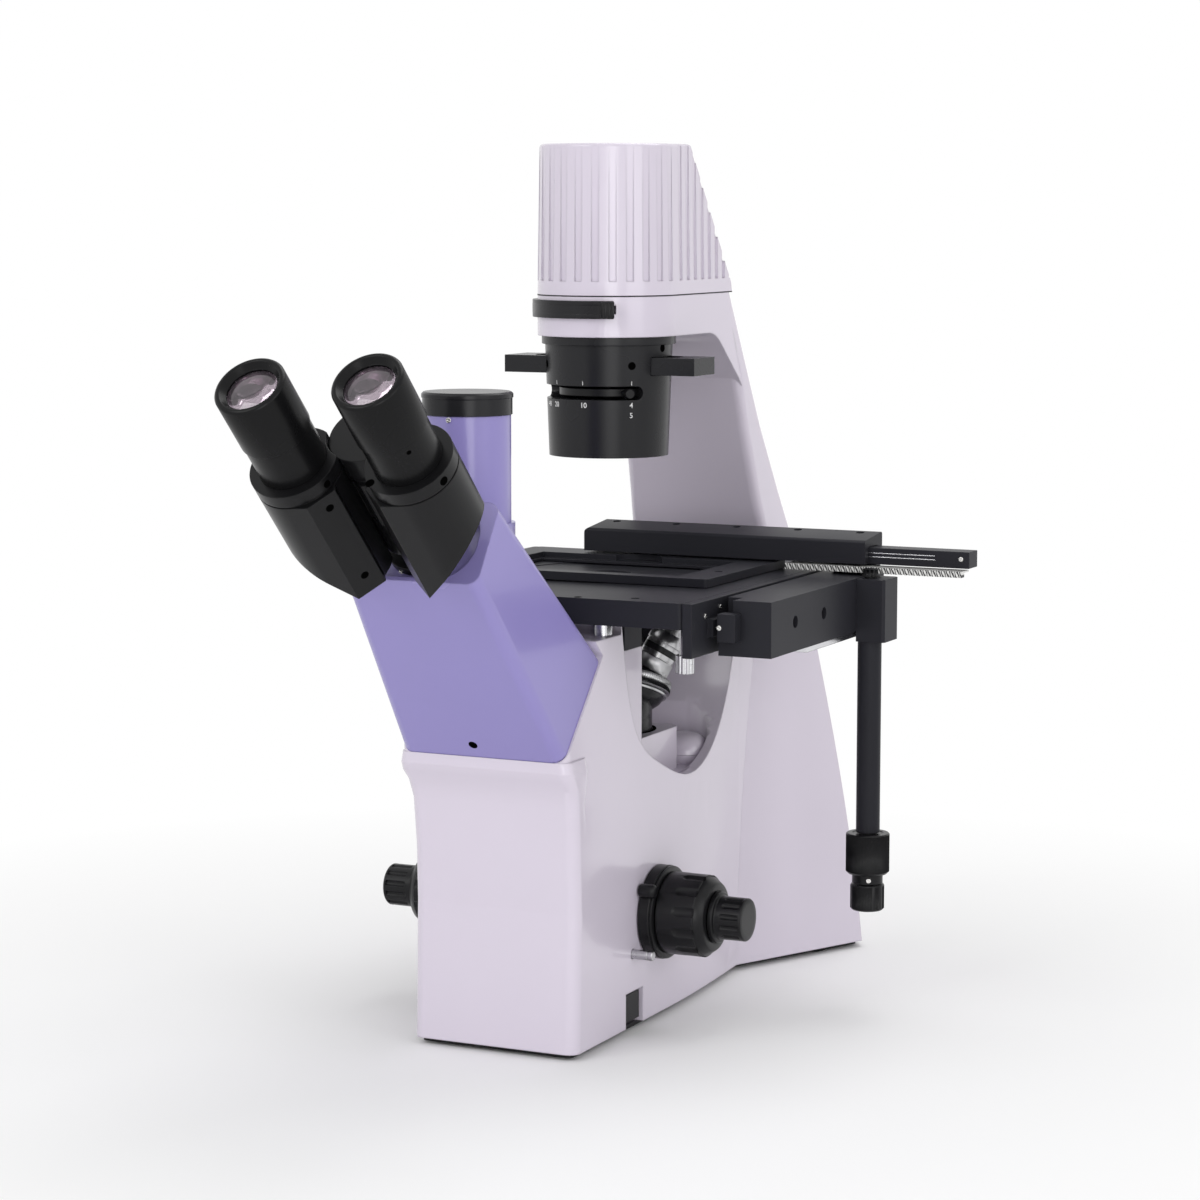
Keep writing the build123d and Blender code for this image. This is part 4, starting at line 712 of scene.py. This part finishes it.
# Small screws: nickelled cheese-head screws that pin the upper stage knob, the
# guide clamp, the end of the sliding bar, the port cap and the flange. One is
# turned and slotted, and the others are copies of it.
nickel = finish("nickel_screw", (0.72, 0.71, 0.69), 0.22, drift=0.05, grain=1500, relief=0.05, edge=0.0002,
                metallic=1.0)
SCREW_RADIUS, SCREW_HEIGHT, PIN_REACH, PIN_OUT = 1.5, 0.7, 9.3, (0.42, -0.9, 0)
pin_place = (STAGE_KNOB_X + PIN_REACH * PIN_OUT[0], STAGE_KNOB_Y + PIN_REACH * PIN_OUT[1], 79.6)
screw_pattern = slotted_screw("screw_pattern", SCREW_RADIUS, SCREW_HEIGHT)
for name, place, outward, body in (
        ("knob_pin_screw", pin_place, PIN_OUT, "upper_stage_knob"),
        ("clamp_screw_a", (119.9, -107.0, 248.1), (0, -1, 0), "carriage"),
        ("clamp_screw_b", (111.0, -106.5, 254.1), (1, 0, 0), "stand"),
        ("bar_end_screw", (205.9, 56.0, 275.0), (0, -1, 0), "cross_slide"),
        ("cap_screw", (1.3, -206.8, 368.0), (0.07, -1, 0), "stand"),
        ("clamp_screw_c", (111.0, -85.4, 257.2), (1, 0, 0), "stand"),
        ("flange_screw", (-7.5, -245.9, 287.9), (-0.38, -0.65, -0.65), "binocular_head")):
    screw = copy_of(screw_pattern, name)
    set_down(screw, seat(place, outward, Vector((0.3, 0, 1)).cross(Vector(outward))))
    place_piece(screw, body, nickel, "chrome")
bpy.data.objects.remove(screw_pattern, do_unlink=True)

# Sliding bar: two ground steel lines let into the front face of the black bar,
# which they follow as it slides out of its housing.
BAR_LINE_SIZE, BAR_LINE_EDGE = (0.055, 0.0004, 0.0006), 0.0001
for name, z in (("bar_line_high", 276.2), ("bar_line_low", 273.9)):
    bpy.ops.object.select_all(action="DESELECT")
    bpy.ops.mesh.primitive_cube_add(size=1, location=drawing(162, 56.0, z))
    line = bpy.context.active_object
    line.name = name
    line.scale = BAR_LINE_SIZE
    bpy.ops.object.transform_apply(location=True, rotation=True, scale=True)
    bpy.ops.object.mode_set(mode="EDIT")
    bpy.ops.mesh.select_all(action="SELECT")
    bpy.ops.mesh.bevel(offset=BAR_LINE_EDGE, segments=1)
    bpy.ops.object.mode_set(mode="OBJECT")
    place_piece(line, "cross_slide", bright_steel, "steel")

# Nosepiece: black sleeve that slides in the casting, black cast cup on it, and
# the turret turning on the cup: bright knurled rim and black cone with four
# seats for the objectives.
barrel_chrome = finish("barrel_chrome", (0.50, 0.50, 0.51), 0.27, drift=0.05, grain=500, relief=0.06,
                       edge=0.0003, metallic=1.0)
skinned("focus_sleeve", "nosepiece", black_satin, "black_paint")
APEX_Z, SEAT_DISTANCE, LEAN = 157.5, 52.0, math.radians(22)
turret_up = (0, math.sin(LEAN), math.cos(LEAN))
turret_seat = seat((0, math.sin(LEAN) * SEAT_DISTANCE * math.cos(LEAN),
                    APEX_Z + SEAT_DISTANCE * math.cos(LEAN) ** 2), turret_up)
# Thin black ring in painted shade for the dark gap between the sleeve and the casting.
sleeve_gap_shade = lathe("sleeve_gap_shade", [(29.0, 166.6), (29.2, 167.06), (26.8, 167.08), (26.7, 166.0)], 72)
set_down(sleeve_gap_shade, Matrix.Translation(drawing(0, 0, 0)))
place_piece(sleeve_gap_shade, "stand", shade_black, "black_paint")
neck = lathe("nosepiece_neck", [(26.3, 174.6), (26.5, 175), (26.5, 180), (25.5, 184), (19, 191)], 72)
set_down(neck, Matrix.Translation(drawing(0, 0, 0)))
place_piece(neck, "nosepiece", black_satin, "black_paint")
cup = lathe("nosepiece_cup",
            [(12, -26.2), (18.5, -24.6), (23.4, -22), (26.8, -18.9), (28.6, -15.8), (28.8, -14.6),
             (28.2, -13.4)], 96, smooth=50)
set_down(cup, turret_seat)
place_piece(cup, "nosepiece", black_satin, "black_paint", "turret_base")
cup_ring = lathe("nosepiece_ring",
                 [(27.9, -15.4), (30.2, -15.0), (30.4, -14.7), (30.4, -13.7), (29.8, -13.35)], 96)
set_down(cup_ring, turret_seat)
place_piece(cup_ring, "nosepiece", barrel_chrome, "chrome")
rim = lathe("turret_rim",
            [(30.6, -13.0), (32.0, -12.3), (32.0, -5.7), (31.3, -5.0), (30.4, -5.0), (30.2, -5.3)], 120)
knurl(rim, -12.2, -5.8, 60, 1.1, 0.35)
set_down(rim, turret_seat)
place_piece(rim, "objective_turret", barrel_chrome, "chrome", "turret")
cone = lathe("turret_cone", [(30.0, -5.6), (30.3, -4.6), (29.6, -4.1), (9.0, 4.2), (7.5, 4.4)], 96)
set_down(cone, turret_seat)
place_piece(cone, "objective_turret", black_satin, "black_paint")

# Objectives: four turned and chromed barrels with a knurled grip, a black band
# and a stepped front, screwed into the turret.
BARREL_SIZES = ((38, 6.5), (30, 8.5), (38, 5.5), (38, 5.0))
for number, (length, tip) in enumerate(BARREL_SIZES):
    place = (turret_seat @ Matrix.Translation((0, 0, -SEAT_DISTANCE * math.cos(LEAN) / 1000))
             @ Matrix.Rotation(math.radians(90 * number), 4, "Z") @ Matrix.Rotation(LEAN, 4, "X")
             @ Matrix.Translation((0, 0, SEAT_DISTANCE / 1000)))
    barrel = lathe(f"objective_barrel_{number}",
                   [(9.8, -0.4), (11.0, -0.4), (11.4, 0), (11.4, 7.6), (11.0, 8.0), (10.6, 8.0), (10.6, 8.8),
                    (11.0, 8.8), (11.0, 17.2), (10.7, 17.2), (10.7, 17.8), (11.1, 17.8), (11.4, 18.1),
                    (11.4, 20.8), (9.4, 24.8), (9.4, length - 6), (tip, length), (tip - 1.0, length),
                    (tip - 1.4, length - 0.5), (2.4, length - 1.6)], 72)
    knurl(barrel, 0.1, 7.5, 36, 0.25, 0.3)
    set_down(barrel, place)
    nodes = ("objectives",) if number == 0 else ()
    place_piece(barrel, "objective_turret", barrel_chrome, "chrome", *nodes)
    band = lathe(f"objective_band_{number}", [(10.9, 11.2), (11.08, 11.3), (11.08, 15.2), (10.9, 15.3)], 72)
    set_down(band, place)
    place_piece(band, "objective_turret", black_satin, "black_paint")


# Focus drive: steel shaft through the casting with coaxial coarse and fine
# knobs and the tension ring, moulded in black with scooped grips, and the
# bright path rod beside them.
dress("focus_shaft", bright_steel)


def scoop(piece, count, reach, radius, low, high):
    """Round-ended flutes milled along a knob, from one height to another."""
    ball = [(radius * math.sin(math.radians(a)), low + radius * (1 - math.cos(math.radians(a))))
            for a in (12, 32, 52, 72, 90)]
    cutter = lathe("flute_cutter", ball + [(radius, high)], 32)
    cutters = [cutter] + [copy_of(cutter, f"flute_cutter_{i}") for i in range(1, count)]
    for i, tool in enumerate(cutters):
        turned = Matrix.Rotation(math.tau * (i + 0.5) / count, 4, "Z")
        set_down(tool, turned @ Matrix.Translation((reach / 1000, 0, 0)))
    bpy.ops.object.select_all(action="DESELECT")
    for tool in cutters:
        tool.select_set(True)
    bpy.context.view_layer.objects.active = cutter
    bpy.ops.object.join()
    return cut_away(piece, cutter)


DRIVE_Y, DRIVE_Z, FLUTES = -45.0, 67.0, 12
COARSE_RADIUS, COARSE_FLUTE, COARSE_FLUTE_LENGTH, COARSE_FLUTE_DEPTH = 24.5, 5.0, 15.5, 1.25
FINE_RADIUS, FINE_FLUTE, FINE_FLUTE_START, FINE_FLUTE_DEPTH, FINE_GAP = 12.8, 1.9, 6.6, 1.1, 0.3
for word, side, start, face, end in (("right", 1, 62.7, 92.0, 112.5), ("left", -1, 56.7, 104.0, 127.0)):
    outward = (side, 0, 0)
    run = face - start
    coarse = lathe(f"coarse_knob_{word}_scooped",
                   [(21.0, 0), (23.8, 0), (COARSE_RADIUS, 0.7), (COARSE_RADIUS, run - 5.4), (24.1, run - 5.0),
                    (23.6, run - 5.0), (23.5, run - 4.6), (20.4, run - 0.3), (19.8, run), (15.8, run),
                    (15.6, run - 0.4)], 144)
    scoop(coarse, FLUTES, COARSE_RADIUS + COARSE_FLUTE - COARSE_FLUTE_DEPTH, COARSE_FLUTE,
          run - 5.0 - COARSE_FLUTE_LENGTH, run - 5.0)
    set_down(coarse, seat((side * start, DRIVE_Y, DRIVE_Z), outward, (0, 1, 0)))
    place_piece(coarse, "coarse_drive", black_moulding, "black_plastic", f"coarse_knob_{word}")
    reach = end - face - FINE_GAP
    fine = lathe(f"fine_knob_{word}_scooped",
                 [(12.0, 0), (14.9, 0), (15.2, 0.3), (15.2, 2.5), (14.8, 3.0), (13.3, 3.3), (12.9, 3.8),
                  (FINE_RADIUS, reach - 0.9), (12.3, reach - 0.2), (11.6, reach), (9.0, reach)], 120)
    scoop(fine, FLUTES, FINE_RADIUS + FINE_FLUTE - FINE_FLUTE_DEPTH, FINE_FLUTE, FINE_FLUTE_START,
          reach - 2.0)
    set_down(fine, seat((side * (face + FINE_GAP), DRIVE_Y, DRIVE_Z), outward, (0, 1, 0)))
    place_piece(fine, f"fine_{word}", black_moulding, "black_plastic", f"fine_knob_{word}")

ring = lathe("tension_ring_turned",
             [(26.8, 0), (28.0, 0.6), (28.0, 6.8), (27.5, 7.3), (26.9, 7.3), (26.9, 7.9), (27.6, 8.1),
              (27.6, 8.9), (27.0, 9.3), (23.4, 9.3), (23.0, 8.9)], 120)
set_down(ring, seat((53.0, DRIVE_Y, DRIVE_Z), (1, 0, 0), (0, 1, 0)))
place_piece(ring, "tension", black_moulding, "black_plastic", "tension_ring")
lug = lathe("tension_lug", [(3.8, 0), (4.2, 0.5), (4.2, 7.8), (3.8, 9.1), (2.7, 10.0), (1.2, 10.4)], 32,
            smooth=60)
set_down(lug, seat((53.6, -69.0, 84.0), (1, 0, 0), (0, 1, 0)))
place_piece(lug, "tension", black_moulding, "black_plastic")
path_rod = lathe("light_path_rod_turned",
                 [(2.9, 24), (2.9, 62.4), (2.5, 62.7), (2.5, 63.2), (2.9, 63.5), (2.9, 65.6), (2.5, 66.0),
                  (1.8, 66.0)], 40)
set_down(path_rod, seat((0, -77.3, 47.4), (1, 0, 0), (0, 1, 0)))
place_piece(path_rod, "path_rod", barrel_chrome, "chrome", "light_path_rod")

# Inner optics: mirror plate and splitting prism, and the black relay tube
# between them; all three sit inside the castings.
dress("light_prisms", lens_glass)
dress("relay_tube", lamp_black)

# Studio: plain floor that turns white away from the object and keeps its
# shadow, soft square lamps, and the camera where the photograph was taken.
bpy.ops.object.select_all(action="DESELECT")
bpy.ops.mesh.primitive_plane_add(size=24, location=(0, 0, 0))
floor = bpy.context.active_object
floor.name = "studio_floor"
floor_mat = bpy.data.materials.new("studio_floor")
floor_mat.use_nodes = True
fn, flink = floor_mat.node_tree.nodes, floor_mat.node_tree.links.new
matt = fn["Principled BSDF"]
matt.inputs["Base Color"].default_value = (0.93, 0.93, 0.93, 1)
matt.inputs["Roughness"].default_value = 0.9
matt.inputs["Specular IOR Level"].default_value = 0.1
white = fn.new("ShaderNodeEmission")
white.inputs["Color"].default_value = (1, 1, 1, 1)
rays = fn.new("ShaderNodeLightPath")
where = fn.new("ShaderNodeTexCoord")
reach = fn.new("ShaderNodeVectorMath")
reach.operation = "LENGTH"
far = fn.new("ShaderNodeMapRange")
far.inputs["From Min"].default_value = 0.30
far.inputs["From Max"].default_value = 0.75
seen = fn.new("ShaderNodeMath")
seen.operation = "MAXIMUM"
both = fn.new("ShaderNodeMath")
both.operation = "MULTIPLY"
blend = fn.new("ShaderNodeMixShader")
flink(where.outputs["Object"], reach.inputs[0])
flink(reach.outputs["Value"], far.inputs["Value"])
flink(rays.outputs["Is Camera Ray"], seen.inputs[0])
flink(rays.outputs["Is Glossy Ray"], seen.inputs[1])
flink(far.outputs[0], both.inputs[0])
flink(seen.outputs[0], both.inputs[1])
flink(both.outputs[0], blend.inputs[0])
flink(matt.outputs[0], blend.inputs[1])
flink(white.outputs[0], blend.inputs[2])
flink(blend.outputs[0], fn["Material Output"].inputs["Surface"])
floor.data.materials.append(floor_mat)

world = bpy.data.worlds.new("studio")
bpy.context.scene.world = world
world.use_nodes = True
wn, wlink = world.node_tree.nodes, world.node_tree.links.new
dome = wn["Background"]
dome.inputs["Color"].default_value = (1, 1, 1, 1)
dome.inputs["Strength"].default_value = 0.62
backdrop = wn.new("ShaderNodeBackground")
backdrop.inputs["Color"].default_value = (1, 1, 1, 1)
backdrop.inputs["Strength"].default_value = 1.0
paths = wn.new("ShaderNodeLightPath")
first = wn.new("ShaderNodeMath")
first.operation = "MAXIMUM"
second = wn.new("ShaderNodeMath")
second.operation = "MAXIMUM"
choose = wn.new("ShaderNodeMixShader")
wlink(paths.outputs["Is Camera Ray"], first.inputs[0])
wlink(paths.outputs["Is Glossy Ray"], first.inputs[1])
wlink(first.outputs[0], second.inputs[0])
wlink(paths.outputs["Is Transmission Ray"], second.inputs[1])
wlink(second.outputs[0], choose.inputs[0])
wlink(dome.outputs[0], choose.inputs[1])
wlink(backdrop.outputs[0], choose.inputs[2])
wlink(choose.outputs[0], wn["World Output"].inputs["Surface"])


def soft_lamp(name, place, size, power):
    """Square studio lamp aimed at the middle of the object."""
    bpy.ops.object.light_add(type="AREA", location=place)
    lamp = bpy.context.active_object
    lamp.name = name
    lamp.data.size = size
    lamp.data.energy = power
    lamp.rotation_euler = (Vector((0, 0, 0.25)) - Vector(place)).to_track_quat("-Z", "Y").to_euler()
    return lamp


soft_lamp("key_lamp", (-0.95, -2.1, 1.7), 1.4, 17)
soft_lamp("side_lamp", (2.0, -0.75, 0.9), 1.2, 7.5)
soft_lamp("fill_lamp", (1.2, -2.0, 0.45), 1.0, 9)
soft_lamp("top_lamp", (0.2, 0.9, 2.2), 1.4, 15)

camera = bpy.data.objects.new("photo_camera", bpy.data.cameras.new("photo_camera"))
bpy.context.scene.collection.objects.link(camera)
camera.data.lens = 98.98
camera.data.sensor_width = 36
camera.data.sensor_fit = "HORIZONTAL"
CAMERA_DOWN, CAMERA_TURN = 6.976, 25.64
camera.location = drawing(858, -1800, 489.9)
camera.rotation_euler = (math.radians(90 - CAMERA_DOWN), 0, math.radians(CAMERA_TURN))
bpy.context.scene.camera = camera
bpy.context.scene.view_settings.view_transform = "Standard"
